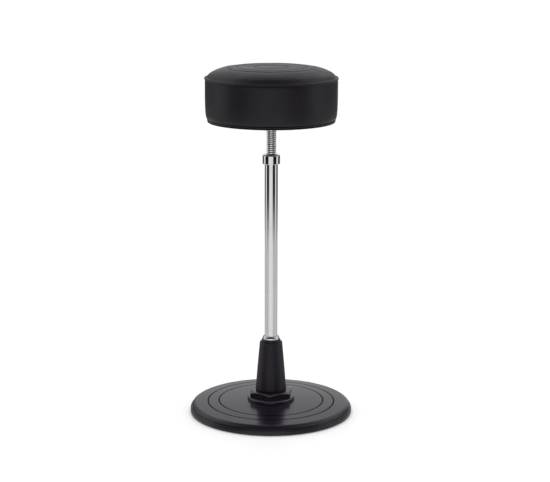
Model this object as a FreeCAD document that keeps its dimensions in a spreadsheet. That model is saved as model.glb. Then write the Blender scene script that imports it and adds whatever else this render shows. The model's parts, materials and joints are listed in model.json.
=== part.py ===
"""Drum throne: a round upholstered seat on a screw spindle, a chrome column and a weighted round base.

Millimetres, +Z up, origin on the floor at the centre of the base. The screw's axis is the Z axis.
The seat turns on a right-hand trapezoidal screw, so one turn to the left lifts it by one pitch.
Each piece is drawn from its own lowest level and placed at its height on the axis.
"""
import FreeCAD, Part
import os
import re
import Sketcher

Vector = FreeCAD.Vector
Rotation = FreeCAD.Rotation

# ---------------------------------------------------------------- driving dimensions
SIZES = {
    "floor ring": {
        "ring_radius": 200.0,
        "ring_height": 13.0,
        "ring_inner_radius": 186.0,
        "ring_ledge_height": 5.0,
        "ring_rib_radius": 194.4,
        "ring_rib_inner_radius": 190.0,
        "ring_rib_height": 16.0,
        "ring_edge_round": 2.0,
    },
    "base shell": {
        "shell_radius": 197.4,
        "shell_thickness": 3.0,
        "shell_hole_radius": 26.0,
        "shell_pad_radius": 58.0,
        "shell_top_height": 31.0,
        "shell_shoulder_height": 23.4,
        "shell_shoulder_round": 10.0,
        "inner_groove_radius": 129.0,
        "inner_groove_height": 28.5,
        "outer_groove_radius": 156.0,
        "outer_groove_height": 26.8,
        "groove_width": 3.2,
        "groove_depth": 2.0,
        "groove_bevel": 0.5,
    },
    "weight and bottom plate": {
        "plate_radius": 189.8,
        "plate_thickness": 1.5,
        "weight_radius": 180.0,
        "weight_thickness": 12.0,
        "plate_screw_circle": 150.0,
        "plate_screw_radius": 2.0,
        "plate_screw_head_radius": 4.2,
        "plate_screw_head_height": 2.2,
        "plate_screw_length": 9.0,
    },
    "hub": {
        "socket_flange_radius": 45.0,
        "socket_flange_thickness": 9.5,
        "socket_barrel_radius": 21.0,
        "socket_floor_height": 13.5,
        "socket_height": 111.5,
        "hub_bolt_circle": 34.0,
        "hub_bolt_radius": 4.0,
        "hub_bolt_length": 15.0,
        "hub_bolt_head_radius": 7.0,
        "hub_bolt_head_height": 5.2,
        "hub_washer_radius": 8.0,
        "hub_washer_thickness": 1.5,
        "hub_counterbore_radius": 9.0,
        "hub_counterbore_depth": 7.0,
        "socket_grub_height": 90.0,
        "socket_grub_radius": 4.0,
        "socket_grub_length": 9.0,
        "hex_key_radius": 1.6,
        "hex_key_depth": 2.0,
    },
    "hexagonal foot": {
        "hex_corner_radius": 56.0,
        "hex_height": 24.0,
        "hex_chamfer_radius": 49.0,
        "hex_chamfer_drop": 4.4,
        "hex_bore_radius": 24.0,
        "hex_flange_radius": 58.5,
        "hex_flange_height": 6.0,
        "hex_flange_round": 1.5,
        "hex_turn": 21.3,
    },
    "cone cover and ferrule": {
        "cone_height": 123.0,
        "cone_bottom_radius": 37.8,
        "cone_top_radius": 27.9,
        "cone_wall": 3.2,
        "cone_neck_radius": 36.2,
        "cone_neck_height": 1.4,
        "cone_bore_radius": 16.1,
        "cone_top_round": 2.4,
        "gasket_radius": 23.4,
        "gasket_thickness": 5.0,
        "ferrule_height": 9.5,
        "ferrule_bottom_radius": 20.8,
        "ferrule_side_height": 3.4,
        "ferrule_top_radius": 17.2,
        "ferrule_round": 2.4,
    },
    "column": {
        "tube_base": 32.0,
        "tube_top": 638.0,
        "tube_radius": 16.0,
        "tube_bore_radius": 14.0,
        "nut_base": 612.0,
        "nut_flange_thickness": 3.5,
        "nut_grub_height": 629.0,
        "nut_grub_radius": 2.0,
        "nut_grub_tip": 12.95,
        "nut_grub_length": 2.8,
        "wiper_thickness": 1.5,
        "wiper_bore_radius": 12.4,
        "collar_base": 622.0,
        "collar_height": 23.0,
        "collar_radius": 21.25,
        "collar_hole_radius": 12.6,
        "collar_top_round": 3.0,
        "collar_bottom_round": 1.2,
        "collar_grub_height": 630.0,
        "collar_grub_radius": 2.5,
        "collar_grub_length": 4.6,
    },
    "screw": {
        "thread_pitch": 5.0,
        "thread_crest_radius": 12.0,
        "thread_root_radius": 9.25,
        "thread_crest_half": 0.9125,
        "thread_first_height": 410.0,
        "thread_run": 25.0,
        "thread_sink": 0.3,
        "thread_clearance": 0.25,
        "spindle_core_base": 407.0,
        "spindle_core_top": 715.0,
        "spindle_shank_radius": 10.0,
        "spindle_shank_top": 738.0,
        "spindle_tip_radius": 8.0,
        "spindle_tip_base": 384.0,
        "spindle_chamfer": 1.0,
    },
    "guide": {
        "stop_washer_thickness": 2.5,
        "stop_washer_radius": 13.4,
        "guide_gap": 0.3,
        "bush_length": 14.5,
        "bush_radius": 13.9,
        "bush_bore_radius": 8.1,
        "bush_chamfer": 1.0,
        "end_washer_thickness": 1.8,
        "end_washer_radius": 12.0,
        "circlip_thickness": 1.2,
        "circlip_radius": 10.6,
        "circlip_groove_radius": 7.2,
        "circlip_gap": 5.0,
    },
    "seat plate": {
        "boss_base": 709.0,
        "boss_radius": 22.0,
        "boss_counterbore_radius": 12.5,
        "boss_counterbore_depth": 6.5,
        "boss_pin_height": 718.3,
        "boss_pin_radius": 2.5,
        "seat_flange_base": 721.0,
        "seat_flange_thickness": 6.0,
        "seat_flange_radius": 75.0,
        "seat_bolt_circle": 58.0,
        "seat_bolt_radius": 3.0,
        "seat_bolt_length": 17.0,
        "seat_bolt_head_radius": 5.8,
        "seat_bolt_head_height": 4.0,
        "seat_bolt_clearance": 0.2,
        "seat_washer_radius": 5.6,
        "seat_washer_thickness": 1.6,
        "tee_barrel_radius": 4.2,
        "tee_barrel_length": 9.5,
        "tee_flange_radius": 9.0,
        "tee_flange_thickness": 1.5,
    },
    "seat": {
        "board_base": 727.0,
        "board_thickness": 12.0,
        "board_radius": 151.0,
        "board_hole_radius": 22.2,
        "dust_cover_thickness": 0.8,
        "dust_cover_radius": 150.0,
        "dust_cover_hole_radius": 76.0,
        "trim_radius": 154.0,
        "trim_inner_radius": 146.0,
        "trim_height": 3.4,
        "trim_lip_thickness": 1.2,
        "staple_circle": 137.0,
        "staple_width": 10.0,
        "staple_wire": 0.7,
        "staple_leg": 6.0,
        "bottom_piping_circle": 153.0,
        "bottom_piping_radius": 1.9,
        "bottom_piping_height": 730.4,
        "band_inner_radius": 151.2,
        "band_base": 732.5,
        "band_top": 826.4,
        "band_bottom_radius": 155.2,
        "band_low_radius": 157.8,
        "band_middle_radius": 159.0,
        "band_radius": 159.3,
        "foam_radius": 150.8,
        "foam_edge_height": 828.0,
        "foam_shoulder_radius": 132.0,
        "foam_shoulder_height": 843.0,
        "foam_plateau_radius": 98.0,
        "foam_top_height": 852.4,
        "top_piping_circle": 158.2,
        "top_piping_radius": 2.7,
        "top_piping_height": 829.4,
        "panel_gap": 0.2,
        "panel_edge_radius": 155.3,
        "panel_edge_height": 832.0,
        "panel_slope_radius": 150.0,
        "panel_slope_height": 838.6,
        "panel_shoulder_radius": 131.0,
        "panel_shoulder_height": 849.0,
        "panel_plateau_radius": 96.0,
        "total_height": 857.0,
    },
}

HUB_BOLTS = 4
SEAT_BOLTS = 4
PLATE_SCREWS = 6
SOCKET_GRUBS = 3
STAPLES = 28
THREAD_RUNS = 12  # the spindle's thread, as runs of thread_run each
NUT_RUNS = 2
NUT_FIRST_RUN_TURNS = 39  # the nut's thread starts this many pitches above the spindle's

doc = FreeCAD.newDocument("DrumThrone")
sheet = doc.addObject("Spreadsheet::Sheet", "Sizes")
row = 0
for section, cells in SIZES.items():
    row += 1
    sheet.set(f"A{row}", section)
    for alias, number in cells.items():
        row += 1
        sheet.set(f"A{row}", alias)
        sheet.set(f"B{row}", str(number))
        sheet.setAlias(f"B{row}", alias)
doc.recompute()


# ---------------------------------------------------------------- binding sizes to the sheet
def in_sheet(expression):
    """An expression whose names are the sheet's aliases, as the sheet's own cells."""
    return re.sub(r"\b([a-z]\w*_\w+)\b", r"Sizes.\1", str(expression))


def number(expression):
    """What an expression comes to now."""
    return float(sheet.evalExpression(in_sheet(expression)))


def bind(item, **sizes):
    """Bind an object's properties to expressions of the sheet's aliases."""
    for name, expression in sizes.items():
        item.setExpression(name, in_sheet(expression))


def place(item, height="0", radius="0", angle=0.0):
    """Stand an object at a height, at a distance from the axis in the direction of an angle in degrees."""
    item.Placement.Rotation = Rotation(Vector(0, 0, 1), angle)
    item.setExpression("Placement.Base.x", in_sheet(f"({radius}) * cos({angle} deg)"))
    item.setExpression("Placement.Base.y", in_sheet(f"({radius}) * sin({angle} deg)"))
    item.setExpression("Placement.Base.z", in_sheet(height))
    return item


def around(count, first=0.0):
    """The angles of evenly spaced items, in degrees."""
    return [first + 360.0 * item / count for item in range(count)]


# ---------------------------------------------------------------- sketches and turned pieces
def draw_outline(sketch, corners):
    """Draw a closed outline in a sketch, each corner held at its distances from the sketch's origin."""
    points = [Vector(number(across), number(up), 0) for across, up in corners]
    first = sketch.GeometryCount
    for index, point in enumerate(points):
        sketch.addGeometry(Part.LineSegment(point, points[(index + 1) % len(points)]))
    for index in range(len(points)):
        following = (index + 1) % len(points)
        sketch.addConstraint(Sketcher.Constraint("Coincident", first + index, 2, first + following, 1))
    for index, (across, up) in enumerate(corners):
        hold(sketch, first + index, "DistanceX", -2, across)
        hold(sketch, first + index, "DistanceY", -1, up)


def hold(sketch, line, kind, axis, expression):
    """Hold a line's start at a distance from the origin, or on the axis where the distance is nothing."""
    distance = number(expression)
    if abs(distance) < 1e-9:
        sketch.addConstraint(Sketcher.Constraint("PointOnObject", line, 1, axis))
        return
    added = sketch.addConstraint(Sketcher.Constraint(kind, -1, 1, line, 1, distance))
    sketch.setExpression(f"Constraints[{added}]", in_sheet(expression))


def add_body(label, height):
    """A body for one sub-part, at its height on the axis."""
    body = doc.addObject("PartDesign::Body", label)
    body.Label = label
    return place(body, height)


def add_sketch(body, name, plane="XZ_Plane"):
    """A sketch on one of a body's own origin planes."""
    sketch = body.newObject("Sketcher::SketchObject", name)
    origin_plane = next(item for item in body.Origin.OriginFeatures if item.Role == plane)
    sketch.AttachmentSupport = [(origin_plane, "")]
    sketch.MapMode = "FlatFace"
    return sketch


def revolve(body, name, outlines, kind="PartDesign::Revolution"):
    """Turn outlines of (distance from the axis, height) once round the axis, adding or cutting them."""
    sketch = add_sketch(body, name + "_sketch")
    for corners in outlines:
        draw_outline(sketch, corners)
    feature = body.newObject(kind, name)
    feature.Profile = sketch
    feature.ReferenceAxis = (sketch, ["V_Axis"])
    feature.Angle = 360.0
    sketch.Visibility = False
    return feature


def circular_edges(shape, radius, height):
    """The names of a shape's full circles of one radius at one height."""
    return [
        f"Edge{index}"
        for index, edge in enumerate(shape.Edges, 1)
        if isinstance(edge.Curve, Part.Circle)
        and abs(edge.Curve.Radius - radius) < 1e-4
        and abs(edge.Curve.Center.z - height) < 1e-4
    ]


def round_edges(body, rounds):
    """Fillet circles of a body, each given as (distance from the axis, height in the body, fillet radius)."""
    for count, (radius, height, fillet_radius) in enumerate(rounds):
        doc.recompute()
        base = body.Tip
        names = circular_edges(base.Shape, number(radius), number(height))
        fillet = body.newObject("PartDesign::Fillet", f"{body.Name}_round_{count}")
        fillet.Base = (base, names)
        bind(fillet, Radius=fillet_radius)


def turned(label, height, corners, rounds=()):
    """A sub-part turned from one outline, with rounded edges."""
    body = add_body(label, height)
    revolve(body, label + "_turned", [corners])
    round_edges(body, rounds)
    return body


def drill(body, name, circle, radius, depth, count, first=0.0, start="0"):
    """Drill a ring of upright holes up into a body, as one pocket and a polar pattern."""
    sketch = add_sketch(body, name + "_sketch", "XY_Plane")
    bind(sketch, **{"AttachmentOffset.Base.z": start})
    angle = f"{first} deg"
    at = Vector(number(f"({circle}) * cos({angle})"), number(f"({circle}) * sin({angle})"), 0)
    sketch.addGeometry(Part.Circle(at, Vector(0, 0, 1), number(radius)))
    size = sketch.addConstraint(Sketcher.Constraint("Radius", 0, number(radius)))
    sketch.setExpression(f"Constraints[{size}]", in_sheet(radius))
    across = sketch.addConstraint(Sketcher.Constraint("DistanceX", -1, 1, 0, 3, at.x))
    sketch.setExpression(f"Constraints[{across}]", in_sheet(f"({circle}) * cos({angle})"))
    if abs(at.y) < 1e-9:
        sketch.addConstraint(Sketcher.Constraint("PointOnObject", 0, 3, -1))
    else:
        up = sketch.addConstraint(Sketcher.Constraint("DistanceY", -1, 1, 0, 3, at.y))
        sketch.setExpression(f"Constraints[{up}]", in_sheet(f"({circle}) * sin({angle})"))
    doc.recompute()
    before = body.Tip.Shape.Volume
    hole = body.newObject("PartDesign::Pocket", name)
    hole.Profile = sketch
    bind(hole, Length=depth)
    hole.Reversed = True
    sketch.Visibility = False
    pattern = body.newObject("PartDesign::PolarPattern", name + "_ring")
    upright = next(item for item in body.Origin.OriginFeatures if item.Role == "Z_Axis")
    pattern.Originals = [hole]
    pattern.Axis = (upright, [""])
    pattern.Angle = 360.0
    pattern.Occurrences = count
    body.Tip = pattern
    doc.recompute()
    if body.Tip.Shape.Volume >= before:
        raise ValueError(f"{name} cuts nothing")
    return pattern


# ---------------------------------------------------------------- primitives and booleans
def cylinder(name, radius, length, height="0", circle="0", angle=0.0):
    """An upright cylinder."""
    item = doc.addObject("Part::Cylinder", name)
    bind(item, Radius=radius, Height=length)
    return place(item, height, circle, angle)


def radial_cylinder(name, radius, length, height, circle, angle):
    """A cylinder that lies along a radius, from a distance from the axis outwards."""
    item = cylinder(name, radius, length, height, circle, angle)
    item.Placement.Rotation = Rotation(Vector(0, 0, 1), angle) * Rotation(Vector(0, 1, 0), 90)
    return item


def prism(name, corner_radius, length, height="0", circle="0", angle=0.0):
    """An upright six-sided prism."""
    item = doc.addObject("Part::Prism", name)
    item.Polygon = 6
    bind(item, Circumradius=corner_radius, Height=length)
    return place(item, height, circle, angle)


def combine(kind, name, items):
    """A boolean of several objects: the first cut by the second, all fused, or what they share."""
    item = doc.addObject(kind, name)
    if kind == "Part::Cut":
        item.Base, item.Tool = items
    else:
        item.Shapes = items
    return item


def fuse(name, items):
    """All the objects as one."""
    return combine("Part::MultiFuse", name, items)


def cut(name, base, tools):
    """An object with others cut out of it."""
    tool = tools[0] if len(tools) == 1 else fuse(name + "_tools", tools)
    return combine("Part::Cut", name, [base, tool])


def group(label, items):
    """Identical loose pieces as one sub-part of several solids."""
    item = doc.addObject("Part::Compound", label)
    item.Links = items
    item.Label = label
    return item


def ring(name, outer, inner, length, height, circle="0", angle=0.0):
    """An upright flat ring."""
    body = cylinder(name + "_disc", outer, length, height, circle, angle)
    return cut(name, body, [cylinder(name + "_hole", inner, length, height, circle, angle)])


def hex_bolt(name, radius, length, head_radius, head_height, height, circle, angle):
    """A hexagon-head bolt that points up, its shank starting at the head's underside level."""
    head = prism(name + "_head", head_radius, head_height, height, circle, angle)
    crown = doc.addObject("Part::Cone", name + "_crown")
    bind(crown, Radius1=f"({head_radius}) * 0.86", Radius2=f"({head_radius}) * 1.5", Height=head_height)
    place(crown, height, circle, angle)
    chamfered = combine("Part::MultiCommon", name + "_chamfered_head", [head, crown])
    shank = cylinder(name + "_shank", radius, length, f"({height}) + ({head_height})", circle, angle)
    return fuse(name, [chamfered, shank])


def socket_grub(name, radius, length, height, tip, angle):
    """A grub screw that points at the axis, with a hexagonal key socket in its outer end."""
    body = radial_cylinder(name + "_body", radius, length, height, tip, angle)
    key_base = f"({tip}) + ({length}) - hex_key_depth"
    key = prism(name + "_key", "hex_key_radius", "hex_key_depth", height, key_base, angle)
    key.Placement.Rotation = body.Placement.Rotation
    return cut(name, body, [key])


# ---------------------------------------------------------------- base
plate_top = "ring_ledge_height + plate_thickness"
weight_top = f"{plate_top} + weight_thickness"
hub_bolt_base = f"{plate_top} + hub_counterbore_depth - hub_washer_thickness - hub_bolt_head_height"


def make_edge_ring():
    """The rubber ring that the throne stands on, with a ledge for the plate and a rib for the shell."""
    return turned("edge_ring", "0", [
        ("ring_inner_radius", "0"),
        ("ring_radius", "0"),
        ("ring_radius", "ring_height"),
        ("ring_rib_radius", "ring_height"),
        ("ring_rib_radius", "ring_rib_height"),
        ("ring_rib_inner_radius", "ring_rib_height"),
        ("ring_rib_inner_radius", "ring_ledge_height"),
        ("ring_inner_radius", "ring_ledge_height"),
    ], [
        ("ring_radius", "0", "ring_edge_round"),
        ("ring_radius", "ring_height", "ring_edge_round"),
    ])


def groove_corners(radius, height):
    """The four corners of a bevelled groove in the shell's top, from the axis outwards."""
    return [
        (f"{radius} - groove_width / 2", height),
        (f"{radius} - groove_width / 2 + groove_bevel", f"{height} - groove_depth"),
        (f"{radius} + groove_width / 2 - groove_bevel", f"{height} - groove_depth"),
        (f"{radius} + groove_width / 2", height),
    ]


def make_base_shell():
    """The low round cover, flat under the hub and falling gently to a rounded shoulder."""
    inner_radius = "ring_rib_radius"
    return turned("base_shell", "0", [
        ("shell_hole_radius", "shell_top_height - shell_thickness"),
        ("shell_pad_radius", "shell_top_height - shell_thickness"),
        (inner_radius, "shell_shoulder_height - shell_thickness"),
        (inner_radius, "ring_height"),
        ("shell_radius", "ring_height"),
        ("shell_radius", "shell_shoulder_height"),
        *reversed(groove_corners("outer_groove_radius", "outer_groove_height")),
        *reversed(groove_corners("inner_groove_radius", "inner_groove_height")),
        ("shell_pad_radius", "shell_top_height"),
        ("shell_hole_radius", "shell_top_height"),
    ], [
        ("shell_radius", "shell_shoulder_height", "shell_shoulder_round"),
        ("outer_groove_radius + groove_width / 2", "outer_groove_height", "groove_bevel * 0.8"),
        ("outer_groove_radius - groove_width / 2", "outer_groove_height", "groove_bevel * 0.8"),
        ("inner_groove_radius + groove_width / 2", "inner_groove_height", "groove_bevel * 0.8"),
        ("inner_groove_radius - groove_width / 2", "inner_groove_height", "groove_bevel * 0.8"),
    ])


def make_bottom_plate():
    """The sheet steel plate that closes the base from below."""
    plate = turned("bottom_plate", "ring_ledge_height", [
        ("0", "0"),
        ("plate_radius", "0"),
        ("plate_radius", "plate_thickness"),
        ("0", "plate_thickness"),
    ])
    drill(plate, "plate_holes", "plate_screw_circle", "plate_screw_radius", "plate_thickness", PLATE_SCREWS)
    return plate


def make_base_weight():
    """The cast iron disc that keeps the throne upright, drilled for the hub bolts and the plate screws."""
    weight = turned("base_weight", plate_top, [
        ("0", "0"),
        ("weight_radius", "0"),
        ("weight_radius", "weight_thickness"),
        ("0", "weight_thickness"),
    ], [
        ("weight_radius", "weight_thickness", "ring_edge_round"),
    ])
    drill(weight, "bolt_counterbores", "hub_bolt_circle", "hub_counterbore_radius", "hub_counterbore_depth",
          HUB_BOLTS, 45.0)
    drill(weight, "bolt_holes", "hub_bolt_circle", "hub_bolt_radius", "weight_thickness", HUB_BOLTS, 45.0)
    drill(weight, "screw_holes", "plate_screw_circle", "plate_screw_radius", "plate_screw_length",
          PLATE_SCREWS)
    return weight


def make_plate_screws():
    """The screws that hold the bottom plate to the weight, heads down."""
    screws = []
    for index, angle in enumerate(around(PLATE_SCREWS)):
        name = f"plate_screw_{index}"
        head = cylinder(name + "_head", "plate_screw_head_radius", "plate_screw_head_height",
                        "ring_ledge_height - plate_screw_head_height", "plate_screw_circle", angle)
        shank = cylinder(name + "_shank", "plate_screw_radius", "plate_screw_length",
                         "ring_ledge_height", "plate_screw_circle", angle)
        driver = prism(name + "_driver", "hex_key_radius", "plate_screw_head_height / 2",
                       "ring_ledge_height - plate_screw_head_height", "plate_screw_circle", angle)
        screws.append(cut(name, fuse(name + "_solid", [head, shank]), [driver]))
    return group("bottom_plate_screws", screws)


def make_hub_socket():
    """The steel socket that holds the column, with a bolted flange."""
    socket = turned("hub_socket", weight_top, [
        ("0", "0"),
        ("socket_flange_radius", "0"),
        ("socket_flange_radius", "socket_flange_thickness"),
        ("socket_barrel_radius", "socket_flange_thickness"),
        ("socket_barrel_radius", "socket_height"),
        ("tube_radius", "socket_height"),
        ("tube_radius", "socket_floor_height"),
        ("0", "socket_floor_height"),
    ], [
        ("socket_barrel_radius", "socket_flange_thickness", "ring_edge_round"),
    ])
    bolt_depth = f"{hub_bolt_base} + hub_bolt_head_height + hub_bolt_length - ({weight_top})"
    drill(socket, "socket_bolt_holes", "hub_bolt_circle", "hub_bolt_radius", bolt_depth, HUB_BOLTS, 45.0)
    socket.Label = "hub_socket_undrilled"
    holes = [
        radial_cylinder(f"socket_grub_hole_{index}", "socket_grub_radius", "socket_grub_length",
                        "socket_grub_height", "tube_radius - 1", angle)
        for index, angle in enumerate(around(SOCKET_GRUBS, 30.0))
    ]
    drilled = cut("hub_socket_drilled", socket, holes)
    drilled.Label = "hub_socket"
    return drilled


def make_socket_grubs():
    """The grub screws that clamp the column in its socket."""
    return group("socket_grub_screws", [
        socket_grub(f"socket_grub_{index}", "socket_grub_radius", "socket_grub_length",
                    "socket_grub_height", "tube_radius + thread_clearance", angle)
        for index, angle in enumerate(around(SOCKET_GRUBS, 30.0))
    ])


def make_hub_bolts():
    """The bolts that hold the hub socket to the weight from below."""
    return group("hub_bolts", [
        hex_bolt(f"hub_bolt_{index}", "hub_bolt_radius", "hub_bolt_length", "hub_bolt_head_radius",
                 "hub_bolt_head_height", hub_bolt_base, "hub_bolt_circle", angle)
        for index, angle in enumerate(around(HUB_BOLTS, 45.0))
    ])


def make_hub_washers():
    """The washers under the hub bolts' heads."""
    return group("hub_bolt_washers", [
        ring(f"hub_washer_{index}", "hub_washer_radius", "hub_bolt_radius", "hub_washer_thickness",
             f"{hub_bolt_base} + hub_bolt_head_height", "hub_bolt_circle", angle)
        for index, angle in enumerate(around(HUB_BOLTS, 45.0))
    ])


def make_hex_foot():
    """The six-sided foot on the base: a round flange and a block whose corners are turned off like a nut's."""
    flange = turned("hex_flange", "0", [
        ("hex_bore_radius", "0"),
        ("hex_flange_radius", "0"),
        ("hex_flange_radius", "hex_flange_height"),
        ("hex_bore_radius", "hex_flange_height"),
    ], [
        ("hex_flange_radius", "hex_flange_height", "hex_flange_round"),
    ])
    block = prism("hex_block", "hex_corner_radius", "hex_height")
    turning = turned("hex_turning", "0", [
        ("0", "0"),
        ("hex_corner_radius + 1", "0"),
        ("hex_corner_radius + 1", "hex_height - hex_chamfer_drop"),
        ("hex_corner_radius", "hex_height - hex_chamfer_drop"),
        ("hex_chamfer_radius", "hex_height"),
        ("0", "hex_height"),
    ])
    chamfered = doc.addObject("Part::Common", "hex_chamfered")
    chamfered.Base = block
    chamfered.Tool = turning
    bore = cylinder("hex_bore", "hex_bore_radius", "hex_height")
    foot = cut("hex_foot", fuse("hex_solid", [flange, chamfered]), [bore])
    foot.Label = "hex_foot"
    place(foot, "shell_top_height")
    foot.Placement.Rotation = Rotation(Vector(0, 0, 1), number("hex_turn"))
    return foot


cone_base = "shell_top_height + hex_height"
cone_top = f"{cone_base} + cone_height"


def make_cone_cover():
    """The hollow tapered cover round the foot of the column."""
    return turned("cone_cover", cone_base, [
        ("cone_neck_radius - cone_wall", "0"),
        ("cone_neck_radius", "0"),
        ("cone_neck_radius", "cone_neck_height"),
        ("cone_bottom_radius", "cone_neck_height"),
        ("cone_top_radius", "cone_height"),
        ("cone_bore_radius", "cone_height"),
        ("cone_bore_radius", "cone_height - cone_wall"),
        ("cone_top_radius - cone_wall", "cone_height - cone_wall"),
    ], [
        ("cone_top_radius", "cone_height", "cone_top_round"),
        ("cone_bottom_radius", "cone_neck_height", "cone_neck_height / 2"),
    ])


def make_ferrule_gasket():
    """The thin ring between the cone cover and the ferrule."""
    gasket = ring("ferrule_gasket", "gasket_radius", "tube_radius", "gasket_thickness", cone_top)
    gasket.Label = "ferrule_gasket"
    return gasket


def make_ferrule():
    """The domed ring where the column leaves the cone cover."""
    return turned("ferrule", f"{cone_top} + gasket_thickness", [
        ("tube_radius", "0"),
        ("ferrule_bottom_radius", "0"),
        ("ferrule_bottom_radius", "ferrule_side_height"),
        ("ferrule_top_radius", "ferrule_height"),
        ("tube_radius", "ferrule_height"),
    ], [
        ("ferrule_bottom_radius", "ferrule_side_height", "ferrule_round"),
        ("ferrule_bottom_radius", "0", "ferrule_round / 4"),
        ("ferrule_top_radius", "ferrule_height", "ferrule_round / 4"),
    ])


# ---------------------------------------------------------------- column
def make_column_tube():
    """The chrome tube from the hub socket to the spindle nut."""
    outer = cylinder("tube_outer", "tube_radius", "tube_top - tube_base", "tube_base")
    bore = cylinder("tube_bore", "tube_bore_radius", "tube_top - tube_base", "tube_base")
    holes = [
        radial_cylinder(f"tube_grub_hole_{index}", "nut_grub_radius", "tube_radius", "nut_grub_height",
                        "nut_grub_tip", angle)
        for index, angle in enumerate(around(2))
    ]
    tube = cut("column_tube", outer, [bore, *holes])
    tube.Label = "column_tube"
    return tube


def thread_runs(name, runs, first_height, clearance="0"):
    """Runs of one screw thread end to end, as solids that reach a little into the core.

    A clearance widens the thread's flanks and raises its crest, to cut a nut that the spindle turns in.
    """
    flank = "tan(15 deg)"
    root = "(thread_root_radius - thread_sink)"
    crest = f"(thread_crest_radius + {clearance})"
    crest_width = f"(thread_crest_half + {clearance} - {clearance} * {flank})"
    root_width = f"(thread_crest_half + {clearance} + (thread_crest_radius - {root}) * {flank})"
    profile = doc.addObject("Sketcher::SketchObject", name + "_profile")
    profile.Placement.Rotation = Rotation(Vector(1, 0, 0), 90)
    below = number("thread_pitch * 2")  # heights in the profile are counted from here, to stay above 0
    draw_outline(profile, [
        (root, f"{below} - {root_width}"),
        (crest, f"{below} - {crest_width}"),
        (crest, f"{below} + {crest_width}"),
        (root, f"{below} + {root_width}"),
    ])
    profile.Placement.Base.z = -below
    sweeps = []
    for index in range(runs):
        helix = doc.addObject("Part::Helix", f"{name}_helix_{index}")
        bind(helix, Pitch="thread_pitch", Height="thread_run", Radius="thread_root_radius")
        sweep = doc.addObject("Part::Sweep", f"{name}_run_{index}")
        sweep.Sections = [profile]
        sweep.Spine = (helix, [])
        sweep.Solid = True
        sweep.Frenet = True
        sweeps.append(place(sweep, f"{first_height} + {index} * thread_run"))
    return sweeps


def make_spindle():
    """The screw: a threaded core, a plain shank for the seat boss and a stepped tip for the guide bush."""
    core = turned("spindle_core", "spindle_tip_base", [
        ("0", "0"),
        ("spindle_tip_radius - spindle_chamfer", "0"),
        ("spindle_tip_radius", "spindle_chamfer"),
        ("spindle_tip_radius", "spindle_core_base - spindle_tip_base"),
        ("thread_root_radius", "spindle_core_base - spindle_tip_base"),
        ("thread_root_radius", "spindle_core_top - spindle_tip_base"),
        ("spindle_shank_radius", "spindle_core_top - spindle_tip_base"),
        ("spindle_shank_radius", "spindle_shank_top - spindle_tip_base - spindle_chamfer"),
        ("spindle_shank_radius - spindle_chamfer", "spindle_shank_top - spindle_tip_base"),
        ("0", "spindle_shank_top - spindle_tip_base"),
    ])
    threaded = fuse("spindle_threaded", [core, *thread_runs("thread", THREAD_RUNS, "thread_first_height")])
    groove = ring("circlip_groove", "spindle_tip_radius + 1", "circlip_groove_radius", "circlip_thickness",
                  circlip_base)
    pin_hole = radial_cylinder("spindle_pin_hole", "boss_pin_radius", "2 * boss_radius", "boss_pin_height",
                               "-boss_radius", 0)
    spindle = cut("spindle", threaded, [groove, pin_hole])
    spindle.Label = "spindle"
    return spindle


def make_spindle_nut():
    """The flanged nut fixed in the top of the tube, threaded with clearance round the spindle."""
    barrel = cylinder("nut_barrel", "tube_bore_radius", "tube_top - nut_base", "nut_base")
    flange = cylinder("nut_flange", "tube_radius", "nut_flange_thickness", "tube_top")
    blank = fuse("nut_blank", [barrel, flange])
    bore = cylinder("nut_bore", "thread_root_radius + thread_clearance",
                    "tube_top + nut_flange_thickness - nut_base", "nut_base")
    first = f"thread_first_height + {NUT_FIRST_RUN_TURNS} * thread_pitch"
    runs = thread_runs("nut_thread", NUT_RUNS, first, "thread_clearance")
    dimples = [
        radial_cylinder(f"nut_dimple_{index}", "nut_grub_radius", "tube_radius", "nut_grub_height",
                        "nut_grub_tip", angle)
        for index, angle in enumerate(around(2))
    ]
    nut = cut("spindle_nut", blank, [bore, *runs, *dimples])
    nut.Label = "spindle_nut"
    return nut


def make_nut_grubs():
    """The two short screws that lock the nut in the tube, under the collar."""
    return group("nut_grub_screws", [
        radial_cylinder(f"nut_grub_{index}", "nut_grub_radius", "nut_grub_length", "nut_grub_height",
                        "nut_grub_tip", angle)
        for index, angle in enumerate(around(2))
    ])


def make_wiper_ring():
    """The nylon ring that wipes the thread, held between the nut and the collar."""
    wiper = ring("wiper_ring", "tube_radius", "wiper_bore_radius", "wiper_thickness",
                 "tube_top + nut_flange_thickness")
    wiper.Label = "wiper_ring"
    return wiper


def make_top_collar():
    """The chrome collar over the top of the tube and the nut."""
    collar = turned("top_collar_undrilled", "collar_base", [
        ("tube_radius", "0"),
        ("collar_radius", "0"),
        ("collar_radius", "collar_height"),
        ("collar_hole_radius", "collar_height"),
        ("collar_hole_radius", "tube_top + nut_flange_thickness + wiper_thickness - collar_base"),
        ("tube_radius", "tube_top + nut_flange_thickness + wiper_thickness - collar_base"),
    ], [
        ("collar_radius", "collar_height", "collar_top_round"),
        ("collar_radius", "0", "collar_bottom_round"),
    ])
    hole = radial_cylinder("collar_grub_hole", "collar_grub_radius", "collar_radius", "collar_grub_height",
                           "tube_radius - 1", 90)
    drilled = cut("top_collar", collar, [hole])
    drilled.Label = "top_collar"
    return drilled


def make_collar_grub():
    """The grub screw at the back of the collar."""
    grub = socket_grub("collar_grub_screw", "collar_grub_radius", "collar_grub_length", "collar_grub_height",
                       "tube_radius + thread_clearance", 90)
    grub.Label = "collar_grub_screw"
    return grub


# ---------------------------------------------------------------- guide on the spindle's tip
stop_washer_base = "spindle_core_base - stop_washer_thickness"
bush_base = f"{stop_washer_base} - guide_gap - bush_length"
end_washer_base = f"{bush_base} - guide_gap - end_washer_thickness"
circlip_base = f"{end_washer_base} - circlip_thickness"


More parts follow.
